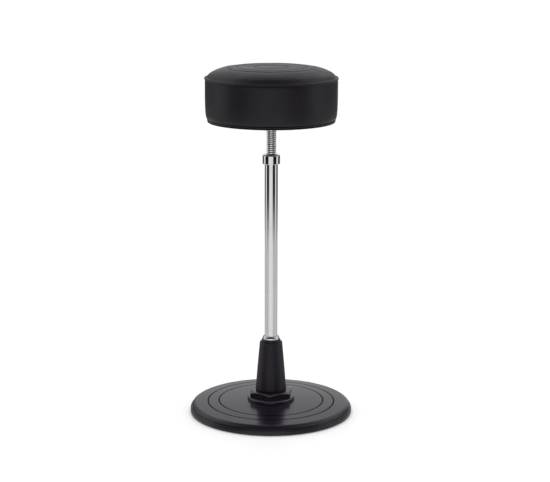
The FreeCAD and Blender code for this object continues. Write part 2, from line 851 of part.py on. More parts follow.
def make_guide_bush():
    """The nylon bush that slides in the tube without turning, while the spindle turns in it."""
    return turned("guide_bush", bush_base, [
        ("bush_bore_radius", "0"),
        ("bush_radius - bush_chamfer", "0"),
        ("bush_radius", "bush_chamfer"),
        ("bush_radius", "bush_length - bush_chamfer"),
        ("bush_radius - bush_chamfer", "bush_length"),
        ("bush_bore_radius", "bush_length"),
    ])


def make_stop_washer():
    """The washer that meets the nut when the seat is all the way up."""
    washer = ring("stop_washer", "stop_washer_radius", "spindle_tip_radius", "stop_washer_thickness",
                  stop_washer_base)
    washer.Label = "stop_washer"
    return washer


def make_end_washer():
    """The washer under the guide bush."""
    washer = ring("end_washer", "end_washer_radius", "spindle_tip_radius", "end_washer_thickness",
                  end_washer_base)
    washer.Label = "end_washer"
    return washer


def make_circlip():
    """The open ring in the spindle's groove that keeps the bush and the washers on."""
    whole = ring("circlip_ring", "circlip_radius", "circlip_groove_radius", "circlip_thickness", circlip_base)
    gap = doc.addObject("Part::Box", "circlip_gap_box")
    bind(gap, Length="circlip_radius + 1", Width="circlip_gap", Height="circlip_thickness")
    place(gap, circlip_base)
    gap.setExpression("Placement.Base.y", in_sheet("-circlip_gap / 2"))
    clip = cut("spindle_circlip", whole, [gap])
    clip.Label = "spindle_circlip"
    return clip


# ---------------------------------------------------------------- seat
def make_seat_plate():
    """The steel flange and boss under the seat that the spindle is pinned into."""
    boss_top = "spindle_shank_top - boss_base"
    flange_base = "seat_flange_base - boss_base"
    plate = turned("seat_plate_undrilled", "boss_base", [
        ("boss_counterbore_radius", "0"),
        ("boss_radius", "0"),
        ("boss_radius", flange_base),
        ("seat_flange_radius", flange_base),
        ("seat_flange_radius", f"{flange_base} + seat_flange_thickness"),
        ("boss_radius", f"{flange_base} + seat_flange_thickness"),
        ("boss_radius", boss_top),
        ("spindle_shank_radius", boss_top),
        ("spindle_shank_radius", "boss_counterbore_depth"),
        ("boss_counterbore_radius", "boss_counterbore_depth"),
    ], [
        ("boss_radius", "0", "ring_edge_round / 2"),
        ("seat_flange_radius", flange_base, "ring_edge_round"),
    ])
    drill(plate, "flange_holes", "seat_bolt_circle", "seat_bolt_radius + seat_bolt_clearance",
          "seat_flange_thickness", SEAT_BOLTS, 45.0, flange_base)
    pin_hole = radial_cylinder("boss_pin_hole", "boss_pin_radius", "2 * boss_radius + 2", "boss_pin_height",
                               "-boss_radius - 1", 0)
    drilled = cut("seat_plate", plate, [pin_hole])
    drilled.Label = "seat_plate"
    return drilled


def make_cross_pin():
    """The spring pin through the boss and the spindle."""
    pin = radial_cylinder("spindle_cross_pin", "boss_pin_radius", "2 * boss_radius - 1", "boss_pin_height",
                          "0.5 - boss_radius", 0)
    pin.Label = "spindle_cross_pin"
    return pin


seat_washer_base = "seat_flange_base - seat_washer_thickness"
tee_top = "board_base + board_thickness"


def make_seat_bolts():
    """The bolts that hold the seat plate to the board from below."""
    return group("seat_plate_bolts", [
        hex_bolt(f"seat_bolt_{index}", "seat_bolt_radius", "seat_bolt_length", "seat_bolt_head_radius",
                 "seat_bolt_head_height", f"{seat_washer_base} - seat_bolt_head_height",
                 "seat_bolt_circle", angle)
        for index, angle in enumerate(around(SEAT_BOLTS, 45.0))
    ])


def make_seat_washers():
    """The washers under the seat bolts' heads."""
    return group("seat_plate_washers", [
        ring(f"seat_washer_{index}", "seat_washer_radius", "seat_bolt_radius", "seat_washer_thickness",
             seat_washer_base, "seat_bolt_circle", angle)
        for index, angle in enumerate(around(SEAT_BOLTS, 45.0))
    ])


def make_tee_nuts():
    """The flanged nuts let into the top of the board."""
    nuts = []
    for index, angle in enumerate(around(SEAT_BOLTS, 45.0)):
        name = f"tee_nut_{index}"
        barrel = cylinder(name + "_barrel", "tee_barrel_radius", "tee_barrel_length",
                          f"{tee_top} - tee_flange_thickness - tee_barrel_length", "seat_bolt_circle", angle)
        flange = cylinder(name + "_flange", "tee_flange_radius", "tee_flange_thickness",
                          f"{tee_top} - tee_flange_thickness", "seat_bolt_circle", angle)
        bore = cylinder(name + "_bore", "seat_bolt_radius", "board_thickness", "board_base",
                        "seat_bolt_circle", angle)
        nuts.append(cut(name, fuse(name + "_blank", [barrel, flange]), [bore]))
    return group("tee_nuts", nuts)


def make_seat_board():
    """The plywood board that the upholstery is built on."""
    board = turned("seat_board", "board_base", [
        ("board_hole_radius", "0"),
        ("board_radius", "0"),
        ("board_radius", "board_thickness"),
        ("board_hole_radius", "board_thickness"),
    ])
    drill(board, "tee_barrel_holes", "seat_bolt_circle", "tee_barrel_radius", "board_thickness",
          SEAT_BOLTS, 45.0)
    drill(board, "tee_flange_holes", "seat_bolt_circle", "tee_flange_radius", "tee_flange_thickness",
          SEAT_BOLTS, 45.0, "board_thickness - tee_flange_thickness")
    return board


def make_dust_cover():
    """The thin cloth that closes the seat from below."""
    cover = ring("dust_cover", "dust_cover_radius", "dust_cover_hole_radius", "dust_cover_thickness",
                 "board_base - dust_cover_thickness")
    cover.Label = "dust_cover"
    return cover


def make_staples():
    """The staples that hold the dust cover and the turned-in hem to the board."""
    staples = []
    top = "board_base - dust_cover_thickness"
    for index, angle in enumerate(around(STAPLES)):
        name = f"staple_{index}"
        crown = doc.addObject("Part::Box", name + "_crown")
        bind(crown, Length="staple_wire", Width="staple_width", Height="staple_wire")
        pieces = [(crown, "-staple_width / 2", f"{top} - staple_wire")]
        for side, across in (("left", "-staple_width / 2"), ("right", "staple_width / 2 - staple_wire")):
            leg = doc.addObject("Part::Box", f"{name}_{side}_leg")
            bind(leg, Length="staple_wire", Width="staple_wire", Height="staple_leg")
            pieces.append((leg, across, f"{top} - staple_wire"))
        for piece, across, height in pieces:
            place_tangent(piece, "staple_circle", across, height, angle)
        staples.append(fuse(name, [piece for piece, _, _ in pieces]))
    return group("cover_staples", staples)


def place_tangent(item, radius, across, height, angle):
    """Stand an object at a radius, moved along the circle's tangent there."""
    item.Placement.Rotation = Rotation(Vector(0, 0, 1), angle)
    turn = f"{angle} deg"
    item.setExpression("Placement.Base.x", in_sheet(f"({radius}) * cos({turn}) - ({across}) * sin({turn})"))
    item.setExpression("Placement.Base.y", in_sheet(f"({radius}) * sin({turn}) + ({across}) * cos({turn})"))
    item.setExpression("Placement.Base.z", in_sheet(height))


def make_edge_trim():
    """The dark band round the board's lower edge, with a lip that holds the dust cover."""
    base = "board_base - dust_cover_thickness - trim_lip_thickness"
    lip_top = "trim_lip_thickness"
    return turned("seat_edge_trim", base, [
        ("trim_inner_radius", "0"),
        ("trim_radius", "0"),
        ("trim_radius", "trim_height"),
        ("board_radius", "trim_height"),
        ("board_radius", lip_top),
        ("trim_inner_radius", lip_top),
    ], [
        ("trim_radius", "0", "ring_edge_round / 2"),
    ])


def make_piping(label, circle, radius, height):
    """One closed ring of piping cord."""
    piping = doc.addObject("Part::Torus", label)
    bind(piping, Radius1=circle, Radius2=radius)
    piping.Label = label
    return place(piping, height)


def make_side_band():
    """The upholstered side of the seat, a little fuller at the top."""
    band_height = "band_top - band_base"
    return turned("seat_side_band", "band_base", [
        ("band_inner_radius", "0"),
        ("band_bottom_radius", "0"),
        ("band_low_radius", f"({band_height}) * 0.1"),
        ("band_middle_radius", f"({band_height}) * 0.3"),
        ("band_radius", f"({band_height}) * 0.7"),
        ("band_radius", band_height),
        ("band_inner_radius", band_height),
    ])


def make_foam():
    """The seat's foam, up to the crown."""
    base = "board_base + board_thickness"
    return turned("seat_foam", base, [
        ("0", "0"),
        ("foam_radius", "0"),
        ("foam_radius", f"foam_edge_height - ({base})"),
        ("foam_shoulder_radius", f"foam_shoulder_height - ({base})"),
        ("foam_plateau_radius", f"foam_top_height - ({base})"),
        ("0", f"foam_top_height - ({base})"),
    ])


def make_top_panel():
    """The crowned top of the cover, a plateau that falls to the top piping."""
    base = "foam_edge_height + panel_gap"
    return turned("seat_top_panel", base, [
        ("foam_radius", "0"),
        ("panel_edge_radius", "0"),
        ("panel_edge_radius", f"panel_edge_height - ({base})"),
        ("panel_slope_radius", f"panel_slope_height - ({base})"),
        ("panel_shoulder_radius", f"panel_shoulder_height - ({base})"),
        ("panel_plateau_radius", f"total_height - ({base})"),
        ("0", f"total_height - ({base})"),
        ("0", "foam_top_height - foam_edge_height"),
        ("foam_plateau_radius", "foam_top_height - foam_edge_height"),
        ("foam_shoulder_radius", "foam_shoulder_height - foam_edge_height"),
    ])


# ---------------------------------------------------------------- assembly
nodes = [
    make_edge_ring(),
    make_base_shell(),
    make_bottom_plate(),
    make_plate_screws(),
    make_base_weight(),
    make_hub_socket(),
    make_socket_grubs(),
    make_hub_bolts(),
    make_hub_washers(),
    make_hex_foot(),
    make_cone_cover(),
    make_ferrule_gasket(),
    make_ferrule(),
    make_column_tube(),
    make_spindle_nut(),
    make_nut_grubs(),
    make_wiper_ring(),
    make_top_collar(),
    make_collar_grub(),
    make_guide_bush(),
    make_spindle(),
    make_stop_washer(),
    make_end_washer(),
    make_circlip(),
    make_seat_plate(),
    make_cross_pin(),
    make_seat_bolts(),
    make_seat_washers(),
    make_tee_nuts(),
    make_seat_board(),
    make_dust_cover(),
    make_staples(),
    make_edge_trim(),
    make_piping("seat_bottom_piping", "bottom_piping_circle", "bottom_piping_radius", "bottom_piping_height"),
    make_side_band(),
    make_foam(),
    make_piping("seat_top_piping", "top_piping_circle", "top_piping_radius", "top_piping_height"),
    make_top_panel(),
]
doc.recompute()

failed = [item.Label for item in doc.Objects if {"Invalid", "Error"} & set(item.State)]
if failed:
    raise RuntimeError(f"these objects did not recompute: {failed}")
for node in nodes:
    if node.Shape.isNull() or not node.Shape.isValid() or not node.Shape.Solids:
        raise RuntimeError(f"{node.Label} is not a valid solid")

os.makedirs("parts", exist_ok=True)
for node in nodes:
    node.Shape.exportStep(f"parts/{node.Label}.step")
    box = node.Shape.BoundBox
    print(f"{node.Label:22s} {len(node.Shape.Solids):3d} solids {node.Shape.Volume:12.1f} mm3"
          f"  z {box.ZMin:7.2f} to {box.ZMax:7.2f}")
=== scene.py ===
"""Looks of the drum throne: a leatherette seat on a chrome screw column with a black pedestal base.

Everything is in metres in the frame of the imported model. Sizes come from the frame's nodes.
"""
import json
import math
import random

import bmesh
import bpy
import numpy as np
from mathutils import Matrix, Vector, noise


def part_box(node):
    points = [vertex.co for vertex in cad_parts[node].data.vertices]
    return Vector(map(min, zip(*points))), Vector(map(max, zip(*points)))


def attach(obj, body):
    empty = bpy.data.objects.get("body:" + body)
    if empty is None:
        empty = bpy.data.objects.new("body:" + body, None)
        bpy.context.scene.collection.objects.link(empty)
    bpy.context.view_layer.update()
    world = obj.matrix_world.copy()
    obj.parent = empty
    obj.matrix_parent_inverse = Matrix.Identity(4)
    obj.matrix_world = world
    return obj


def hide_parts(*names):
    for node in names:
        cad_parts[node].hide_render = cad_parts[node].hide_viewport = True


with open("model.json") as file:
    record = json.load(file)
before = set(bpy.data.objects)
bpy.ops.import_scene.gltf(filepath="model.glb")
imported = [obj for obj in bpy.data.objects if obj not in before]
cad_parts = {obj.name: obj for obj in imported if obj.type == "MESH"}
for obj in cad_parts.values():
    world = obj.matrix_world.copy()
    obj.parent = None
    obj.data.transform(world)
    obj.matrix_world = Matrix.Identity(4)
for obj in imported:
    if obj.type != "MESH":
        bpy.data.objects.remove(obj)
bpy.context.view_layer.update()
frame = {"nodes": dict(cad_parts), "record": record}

MM = 0.001
TAU = 2 * math.pi


# ------------------------------------------------------------------ sizes from the frame
def reach(node):
    """(outer radius, lowest, highest) of a round CAD node."""
    low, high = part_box(node)
    return (high.x - low.x) / 2, low.z, high.z


def reach_mm(node):
    """The same in mm."""
    return [size / MM for size in reach(node)]


PITCH = frame["record"]["behaviour"]["couplings"][0]["ratio"] * TAU


# ------------------------------------------------------------------ mesh helpers
def add_mesh(name, vertices, faces, material=None, sharp=40.0):
    """A new mesh object with smooth faces, sharp where they meet at more than an angle in degrees."""
    mesh = bpy.data.meshes.new(name)
    mesh.from_pydata([tuple(v) for v in vertices], [], faces)
    mesh.validate()
    mesh.shade_smooth()
    mesh.set_sharp_from_angle(angle=math.radians(sharp))
    made = bpy.data.objects.new(name, mesh)
    bpy.context.scene.collection.objects.link(made)
    if material:
        mesh.materials.append(material)
    return made


def join(name, pieces):
    """Several mesh objects of one material as one."""
    mesh = bpy.data.meshes.new(name)
    mesh.materials.append(pieces[0].data.materials[0])
    whole = bmesh.new()
    for piece in pieces:
        whole.from_mesh(piece.data)
        bpy.data.objects.remove(piece)
    whole.to_mesh(mesh)
    whole.free()
    made = bpy.data.objects.new(name, mesh)
    bpy.context.scene.collection.objects.link(made)
    return made


def rounded(corners, steps=8):
    """An outline of (radius, height, rounding) corners as points, each rounded corner as an arc.

    A point just outside each end of an arc keeps the shading of the long walls beside it straight.
    """
    points = []
    count = len(corners)
    for index, (x, z, fillet) in enumerate(corners):
        here = Vector((x, z))
        if fillet <= 0:
            points.append((x, z))
            continue
        before = Vector(corners[index - 1][:2]) - here
        after = Vector(corners[(index + 1) % count][:2]) - here
        half = before.angle(after) / 2
        back = min(fillet / math.tan(half), before.length * 0.49, after.length * 0.49)
        size = back * math.tan(half)
        start, end = here + before.normalized() * back, here + after.normalized() * back
        centre = here + (before.normalized() + after.normalized()).normalized() * (size / math.sin(half))
        first, last = start - centre, end - centre
        margin = back * 0.25
        if back + margin < before.length * 0.5:
            points.append(tuple(start + before.normalized() * margin))
        for step in range(steps + 1):
            share = step / steps
            arm = (first * (1 - share) + last * share).normalized() * size
            points.append(tuple(centre + arm))
        if back + margin < after.length * 0.5:
            points.append(tuple(end + after.normalized() * margin))
    return points


def polar(radius, angle, height):
    """The point at a radius, an angle round the axis and a height."""
    return (radius * math.cos(angle), radius * math.sin(angle), height)


def numbered(count, steps, first=0):
    """The vertex numbers of rings that follow one another, as lists."""
    return [list(range(first + row * steps, first + (row + 1) * steps)) for row in range(count)]


def ring_faces(rings, closed=True):
    """The faces from each ring of vertex numbers to the next, and from the last to the first if closed.

    A ring that repeats one number is a point, and its faces are triangles.
    """
    faces = []
    for index in range(len(rings) if closed else len(rings) - 1):
        ring, following = rings[index], rings[(index + 1) % len(rings)]
        for step in range(len(ring)):
            turn = (step + 1) % len(ring)
            corners = [ring[step], ring[turn], following[turn], following[step]]
            face = [c for place, c in enumerate(corners) if c not in corners[:place]]
            if len(face) > 2:
                faces.append(face)
    return faces


def turned(name, outline, material, steps, sharp=40.0):
    """A closed outline of (radius, height) points turned once round the axis."""
    vertices, rings = [], []
    for radius, height in outline:
        if radius < 1e-7:
            rings.append([len(vertices)] * steps)
            vertices.append((0.0, 0.0, height))
            continue
        rings += numbered(1, steps, len(vertices))
        vertices += [polar(radius, TAU * step / steps, height) for step in range(steps)]
    return facing_out(add_mesh(name, vertices, ring_faces(rings), material, sharp), sharp)


def facing_out(made, sharp=40.0):
    """The same object with its faces turned outwards."""
    whole = bmesh.new()
    whole.from_mesh(made.data)
    bmesh.ops.recalc_face_normals(whole, faces=whole.faces)
    whole.to_mesh(made.data)
    whole.free()
    made.data.shade_smooth()
    made.data.set_sharp_from_angle(angle=math.radians(sharp))
    return made


def capsules(name, places, length):
    """Short rounded stitches, each at a place given as (point, direction along, direction out)."""
    vertices, faces = [], []
    radius, sides = 0.33 * MM, 8
    # the stitch's outline, as (share of its length from the middle, share of its thickness)
    caps = [(-0.5, 0.0), (-0.46, 0.62), (-0.36, 0.95), (0.0, 1.0), (0.36, 0.95), (0.46, 0.62), (0.5, 0.0)]
    for point, along, out in places:
        side = along.cross(out).normalized()
        rings = []
        for share, thick in caps:
            centre = point + along * (share * length) - out * (abs(share) ** 3 * radius * 5)
            if thick == 0:
                rings.append([len(vertices)] * sides)
                vertices.append(centre)
                continue
            rings += numbered(1, sides, len(vertices))
            for step in range(sides):
                angle = TAU * step / sides
                arm = side * math.cos(angle) + out * math.sin(angle)
                vertices.append(centre + arm * radius * thick)
        faces += ring_faces(rings, closed=False)
    return facing_out(add_mesh(name, vertices, faces, thread, 60))


# ------------------------------------------------------------------ material helpers
class Graph:
    """A node tree that is built by naming nodes and passing sockets."""

    def __init__(self, tree):
        self.tree = tree
        self.tree.nodes.clear()

    def add(self, kind, sockets=None, **settings):
        """A node with settings, whose inputs are values or other nodes' outputs."""
        made = self.tree.nodes.new(kind)
        for name, value in settings.items():
            setattr(made, name, value)
        for name, value in (sockets or {}).items():
            if isinstance(value, bpy.types.NodeSocket):
                self.tree.links.new(value, made.inputs[name])
            else:
                made.inputs[name].default_value = value
        return made

    def math(self, operation, first, second=0.0):
        """The result of a math node."""
        made = self.add("ShaderNodeMath", {0: first, 1: second}, operation=operation)
        return made.outputs[0]

    def spread(self, value, low, high, to_low, to_high, smooth=False):
        """A value carried from one range to another, and held at its ends."""
        kind = "SMOOTHSTEP" if smooth else "LINEAR"
        sockets = {0: value, 1: low, 2: high, 3: to_low, 4: to_high}
        return self.add("ShaderNodeMapRange", sockets, interpolation_type=kind).outputs[0]

    def noise(self, where, scale, detail=3.0, roughness=0.5):
        """Fractal noise from 0 to 1."""
        sockets = {"Vector": where, "Scale": scale, "Detail": detail, "Roughness": roughness}
        return self.add("ShaderNodeTexNoise", sockets).outputs[0]

    def cells(self, where, scale, feature="F1"):
        """The distance in a pattern of cells."""
        sockets = {"Vector": where, "Scale": scale}
        return self.add("ShaderNodeTexVoronoi", sockets, feature=feature).outputs["Distance"]

    def place(self):
        """A point's place in the model."""
        return self.add("ShaderNodeTexCoord").outputs["Object"]

    def mix(self, share, first, second):
        """A colour between two colours."""
        made = self.add("ShaderNodeMix", {0: share}, data_type="RGBA")
        for socket, value in ((made.inputs[6], first), (made.inputs[7], second)):
            if isinstance(value, bpy.types.NodeSocket):
                self.tree.links.new(value, socket)
            else:
                socket.default_value = (*value, 1.0)
        return made.outputs[2]

    def bump(self, height, distance, strength=1.0, normal=None):
        """A bumped normal from a height."""
        sockets = {"Height": height, "Distance": distance, "Strength": strength}
        if normal:
            sockets["Normal"] = normal
        return self.add("ShaderNodeBump", sockets).outputs[0]


def add_material(name, build, **fixed):
    """A Principled material: build gives the inputs that vary, fixed the ones that are the same all over."""
    made = bpy.data.materials.new(name)
    made.use_nodes = True
    graph = Graph(made.node_tree)
    shader = graph.add("ShaderNodeBsdfPrincipled")
    output = graph.add("ShaderNodeOutputMaterial")
    graph.tree.links.new(shader.outputs[0], output.inputs[0])
    for name_of, value in fixed.items():
        shader.inputs[name_of.replace("_", " ")].default_value = value
    for name_of, socket in build(graph).items():
        graph.tree.links.new(socket, shader.inputs[name_of])
    return made


def grey(value, tint=(1.0, 1.0, 1.0)):
    """A grey as a colour, slightly tinted."""
    return tuple(value * t for t in tint)


# ------------------------------------------------------------------ materials
BLACK_TINT = (1.0, 0.68, 1.40)  # the black pieces' faint violet cast


def leatherette_material(name, shade, grain=1.0):
    """Smooth black upholstery vinyl: fine pebble grain, soft mottling, slightly polished high spots."""
    def build(graph):
        where = graph.place()
        pebble = graph.cells(where, 1150.0, "SMOOTH_F1")
        pores = graph.noise(where, 2600.0, 2.0)
        mottle = graph.noise(where, 38.0, 4.0)
        rubbed = graph.spread(graph.noise(where, 9.0, 2.0), 0.35, 0.7, 0.0, 1.0, True)
        colour = graph.mix(mottle, grey(shade * 0.8, BLACK_TINT), grey(shade * 1.25, BLACK_TINT))
        rough = graph.spread(mottle, 0.3, 0.7, 0.40, 0.48)
        rough = graph.math("SUBTRACT", rough, graph.math("MULTIPLY", rubbed, 0.04))
        height = graph.math("ADD", graph.math("MULTIPLY", pebble, 0.8), graph.math("MULTIPLY", pores, 0.2))
        normal = graph.bump(height, 0.00007 * grain, 0.55)
        creases = graph.noise(where, 120.0, 5.0, 0.6)
        normal = graph.bump(creases, 0.00025 * grain, 0.35, normal)
        return {"Base Color": colour, "Roughness": rough, "Normal": normal}
    return add_material(name, build, Specular_IOR_Level=0.3)


def thread_material():
    """Twisted black sewing thread."""
    def build(graph):
        where = graph.place()
        twist = graph.noise(where, 4200.0, 1.0)
        colour = graph.mix(twist, grey(0.010), grey(0.035))
        return {"Base Color": colour, "Normal": graph.bump(twist, 0.00015, 0.8)}
    return add_material("thread", build, Roughness=0.6, Sheen_Weight=0.2)


def moulded_material(name, shade, rough, gloss=0.5, tint=BLACK_TINT):
    """Black moulded plastic: a faint orange peel, fine handling marks and a little dust in its gloss."""
    def build(graph):
        where = graph.place()
        peel = graph.noise(where, 420.0, 3.0)
        fine = graph.cells(where, 1500.0)
        clouds = graph.noise(where, 14.0, 4.0, 0.6)
        marks = graph.spread(graph.noise(where, 75.0, 8.0, 0.75), 0.62, 0.75, 0.0, 1.0, True)
        colour = graph.mix(clouds, grey(shade * 0.85, tint), grey(shade * 1.15, tint))
        roughness = graph.spread(clouds, 0.3, 0.7, rough * 0.9, rough * 1.12)
        roughness = graph.math("ADD", roughness, graph.math("MULTIPLY", marks, 0.06))
        normal = graph.bump(peel, 0.00012, 0.30)
        normal = graph.bump(fine, 0.00003, 0.45, normal)
        return {"Base Color": colour, "Roughness": roughness, "Normal": normal}
    return add_material(name, build, Specular_IOR_Level=gloss)


def rubber_material(name, shade):
    """Smooth black rubber with a faint dusty bloom."""
    def build(graph):
        where = graph.place()
        bloom = graph.noise(where, 60.0, 6.0, 0.65)
        specks = graph.noise(where, 900.0, 2.0)
        colour = graph.mix(bloom, grey(shade * 0.8, BLACK_TINT), grey(shade * 1.5, BLACK_TINT))
        roughness = graph.spread(bloom, 0.3, 0.7, 0.32, 0.42)
        return {"Base Color": colour, "Roughness": roughness, "Normal": graph.bump(specks, 0.0001, 0.4)}
    return add_material(name, build, Specular_IOR_Level=0.4)


def chrome_material():
    """Polished chrome plate: clear reflections with faint polishing lines and a trace of handling haze."""
    def build(graph):
        where = graph.place()
        haze = graph.spread(graph.noise(where, 26.0, 6.0, 0.7), 0.45, 0.75, 0.0, 1.0, True)
        stretched = graph.add("ShaderNodeMapping", {"Vector": where, "Scale": (1.0, 1.0, 30.0)}).outputs[0]
        lines = graph.noise(stretched, 60.0, 4.0, 0.7)
        roughness = graph.math("ADD", graph.spread(lines, 0.3, 0.7, 0.045, 0.065),
                               graph.math("MULTIPLY", haze, 0.03))
        colour = graph.mix(haze, grey(0.62, (0.985, 0.995, 1.0)), grey(0.58, (0.985, 0.995, 1.0)))
        return {"Base Color": colour, "Roughness": roughness, "Normal": graph.bump(lines, 0.000005, 0.15)}
    return add_material("chrome", build, Metallic=1.0)


def screw_material(root_radius, crest_radius):
    """Bright plated screw, darkened unevenly towards its thread roots by painted shade."""
    def build(graph):
        where = graph.place()
        level = {0: where, 1: (1.0, 1.0, 0.0)}
        flat = graph.add("ShaderNodeVectorMath", level, operation="MULTIPLY").outputs[0]
        radius = graph.add("ShaderNodeVectorMath", {0: flat}, operation="LENGTH").outputs["Value"]
        depth = graph.spread(radius, root_radius, crest_radius, 1.0, 0.0, True)
        # painted shade: darker towards the thread roots, broken up by noise
        painted_root_shade = graph.math("MULTIPLY", depth, graph.spread(graph.noise(where, 90.0, 5.0), 0.3, 0.7, 0.5, 1.0))
        drawn = graph.add("ShaderNodeMapping", {"Vector": where, "Scale": (1.0, 1.0, 14.0)}).outputs[0]
        lines = graph.noise(drawn, 260.0, 4.0, 0.7)
        colour = graph.mix(painted_root_shade, grey(0.78, (1.0, 0.99, 0.985)), grey(0.10, (1.0, 0.96, 0.92)))
        roughness = graph.spread(lines, 0.3, 0.7, 0.20, 0.34)
        return {"Base Color": colour, "Roughness": roughness, "Normal": graph.bump(lines, 0.00004, 0.4)}
    return add_material("screw_steel", build, Metallic=1.0)


def metal_material(name, shade, rough, tint=(1.0, 1.0, 1.0)):
    """Plated or turned metal with fine marks and uneven tone."""
    def build(graph):
        where = graph.place()
        tone = graph.noise(where, 130.0, 5.0, 0.6)
        marks = graph.noise(where, 300.0, 6.0, 0.7)
        colour = graph.mix(tone, grey(shade * 0.8, tint), grey(shade * 1.15, tint))
        roughness = graph.spread(marks, 0.3, 0.7, rough * 0.8, rough * 1.25)
        return {"Base Color": colour, "Roughness": roughness, "Normal": graph.bump(marks, 0.00005, 0.4)}
    return add_material(name, build, Metallic=1.0)


def painted_material(name, shade, rough, texture):
    """Black paint or powder coat, with a fine orange peel."""
    def build(graph):
        where = graph.place()
        peel = graph.noise(where, 700.0, 3.0)
        clouds = graph.noise(where, 30.0, 4.0)
        colour = graph.mix(clouds, grey(shade * 0.8), grey(shade * 1.25))
        roughness = graph.spread(clouds, 0.3, 0.7, rough * 0.9, rough * 1.15)
        return {"Base Color": colour, "Roughness": roughness, "Normal": graph.bump(peel, texture, 0.6)}
    return add_material(name, build, Specular_IOR_Level=0.5)


def wood_material():
    """Birch plywood: face grain and the plies' lines at the edge."""
    def build(graph):
        where = graph.place()
        along = graph.add("ShaderNodeMapping", {"Vector": where, "Scale": (1.0, 9.0, 1.0)}).outputs[0]
        grain = graph.noise(along, 22.0, 6.0, 0.6)
        up = graph.add("ShaderNodeSeparateXYZ", {0: where}).outputs[2]
        plies = graph.math("SINE", graph.math("MULTIPLY", up, TAU / (2.4 * MM)))
        dark = graph.math("ADD", graph.math("MULTIPLY", grain, 0.6), graph.spread(plies, 0.2, 1.0, 0.0, 0.3))
        colour = graph.mix(dark, (0.60, 0.42, 0.24), (0.33, 0.20, 0.10))
        return {"Base Color": colour, "Normal": graph.bump(grain, 0.0002, 0.4)}
    return add_material("plywood", build, Roughness=0.65)


def cloth_material():
    """Black non-woven dust cloth with pressed dimples and loose fibres."""
    def build(graph):
        where = graph.place()
        dimples = graph.cells(where, 620.0)
        fibres = graph.noise(where, 1500.0, 5.0, 0.75)
        colour = graph.mix(fibres, grey(0.010), grey(0.032))
        height = graph.math("ADD", graph.math("MULTIPLY", dimples, 0.7), graph.math("MULTIPLY", fibres, 0.5))
        return {"Base Color": colour, "Normal": graph.bump(height, 0.0003, 0.7)}
    return add_material("dust_cloth", build, Roughness=0.92, Sheen_Weight=0.12)


def nylon_material():
    """Natural nylon, slightly milky."""
    def build(graph):
        where = graph.place()
        clouds = graph.noise(where, 160.0, 4.0)
        colour = graph.mix(clouds, (0.72, 0.70, 0.63), (0.80, 0.78, 0.72))
        return {"Base Color": colour, "Normal": graph.bump(clouds, 0.0001, 0.4)}
    return add_material("nylon", build, Roughness=0.45, Subsurface_Weight=0.1)


spindle_radius, spindle_low, spindle_high = reach("spindle")
THREAD_DEPTH = PITCH / 2 + 0.25 * MM  # half the pitch and the standard's root clearance

leather = leatherette_material("seat_leatherette", 0.0062)
piping_leather = leatherette_material("piping_leatherette", 0.0066, 0.6)
thread = thread_material()
base_plastic = moulded_material("base_plastic", 0.009, 0.22, 0.32)
# painted shade: a darker, matte plastic for the shell's ring grooves
painted_groove_shade_plastic = moulded_material("painted_groove_shade_plastic", 0.003, 0.6, 0.1)
cone_plastic = moulded_material("cone_plastic", 0.0115, 0.44, 0.32)
hub_plastic = moulded_material("hub_plastic", 0.012, 0.24, 0.5)
# painted highlight: a lighter plastic for the foot's lip and turned-off corners, where they would catch the
# light
painted_highlight_plastic = moulded_material("painted_highlight_plastic", 0.036, 0.3, 0.5, (1.0, 0.92, 1.06))
trim_plastic = moulded_material("trim_plastic", 0.004, 0.5, 0.2)
ring_rubber = rubber_material("ring_rubber", 0.006)
gasket_rubber = rubber_material("gasket_rubber", 0.005)
chrome = chrome_material()
screw_steel = screw_material(spindle_radius - THREAD_DEPTH, spindle_radius)
zinc = metal_material("zinc_plate", 0.62, 0.34, (1.0, 0.99, 0.95))
dark_steel = metal_material("dark_steel", 0.10, 0.38)
turned_steel = metal_material("turned_steel", 0.42, 0.30)
staple_wire = metal_material("staple_wire", 0.58, 0.32)
cast_iron = painted_material("cast_iron", 0.05, 0.6, 0.0008)
socket_paint = painted_material("socket_paint", 0.03, 0.4, 0.0003)
sheet_paint = painted_material("sheet_paint", 0.035, 0.42, 0.00025)
plate_paint = painted_material("plate_paint", 0.02, 0.38, 0.0003)
plywood = wood_material()
dust_cloth = cloth_material()
nylon = nylon_material()


def turned_mm(name, corners, arcs, material, steps, sharp=40.0):
    """A turned piece from an outline of (radius, height, rounding) corners in mm."""
    outline = [(radius * MM, height * MM) for radius, height in rounded(corners, arcs)]
    return turned(name, outline, material, steps, sharp)


# ------------------------------------------------------------------ base
ON_TUBE = 16.02    # the bore in mm of a piece that fits the column tube
ROUND_TUBE = 16.1  # and of a piece that clears it


def make_edge_ring():
    """The rubber rim: a rounded outer wall, a step at its top and the ledge for the plate."""
    radius, low, high = reach_mm("edge_ring")
    top = low + 13
    corners = [
        (radius - 14, low, 0.6),
        (radius - 3.0, low, 0.5),
        (radius - 2.2, low + 0.6, 0.4),
        (radius - 0.3, low + 1.2, 1.6),
        (radius, low + 4.6, 1.5),
        (radius - 0.2, low + 8.6, 1.5),
        (radius - 0.9, top - 0.2, 2.2),
        (radius - 2.7, top, 0.3),
        (radius - 2.9, top - 0.7, 0.2),
        (radius - 5.6, top - 0.7, 0.0),
        (radius - 5.6, high, 0.3),
        (radius - 10, high, 0.3),
        (radius - 10, low + 5, 0.0),
        (radius - 14, low + 5, 0.6),
    ]
    ring = turned_mm("edge_ring_rubber", corners, 5, ring_rubber, 320)
    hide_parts("edge_ring")
    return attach(ring, "base")


HUB_PAD = 58 * MM           # the radius of the flat under the hub
SHELL_FALL = 7.4 * MM       # how far the shell falls from there to its shoulder
GROOVES = (129 * MM, 156 * MM)  # radii of the shell's two ring grooves
GROOVE_HALF = 1.65 * MM
GROOVE_DEPTH = 2.1 * MM


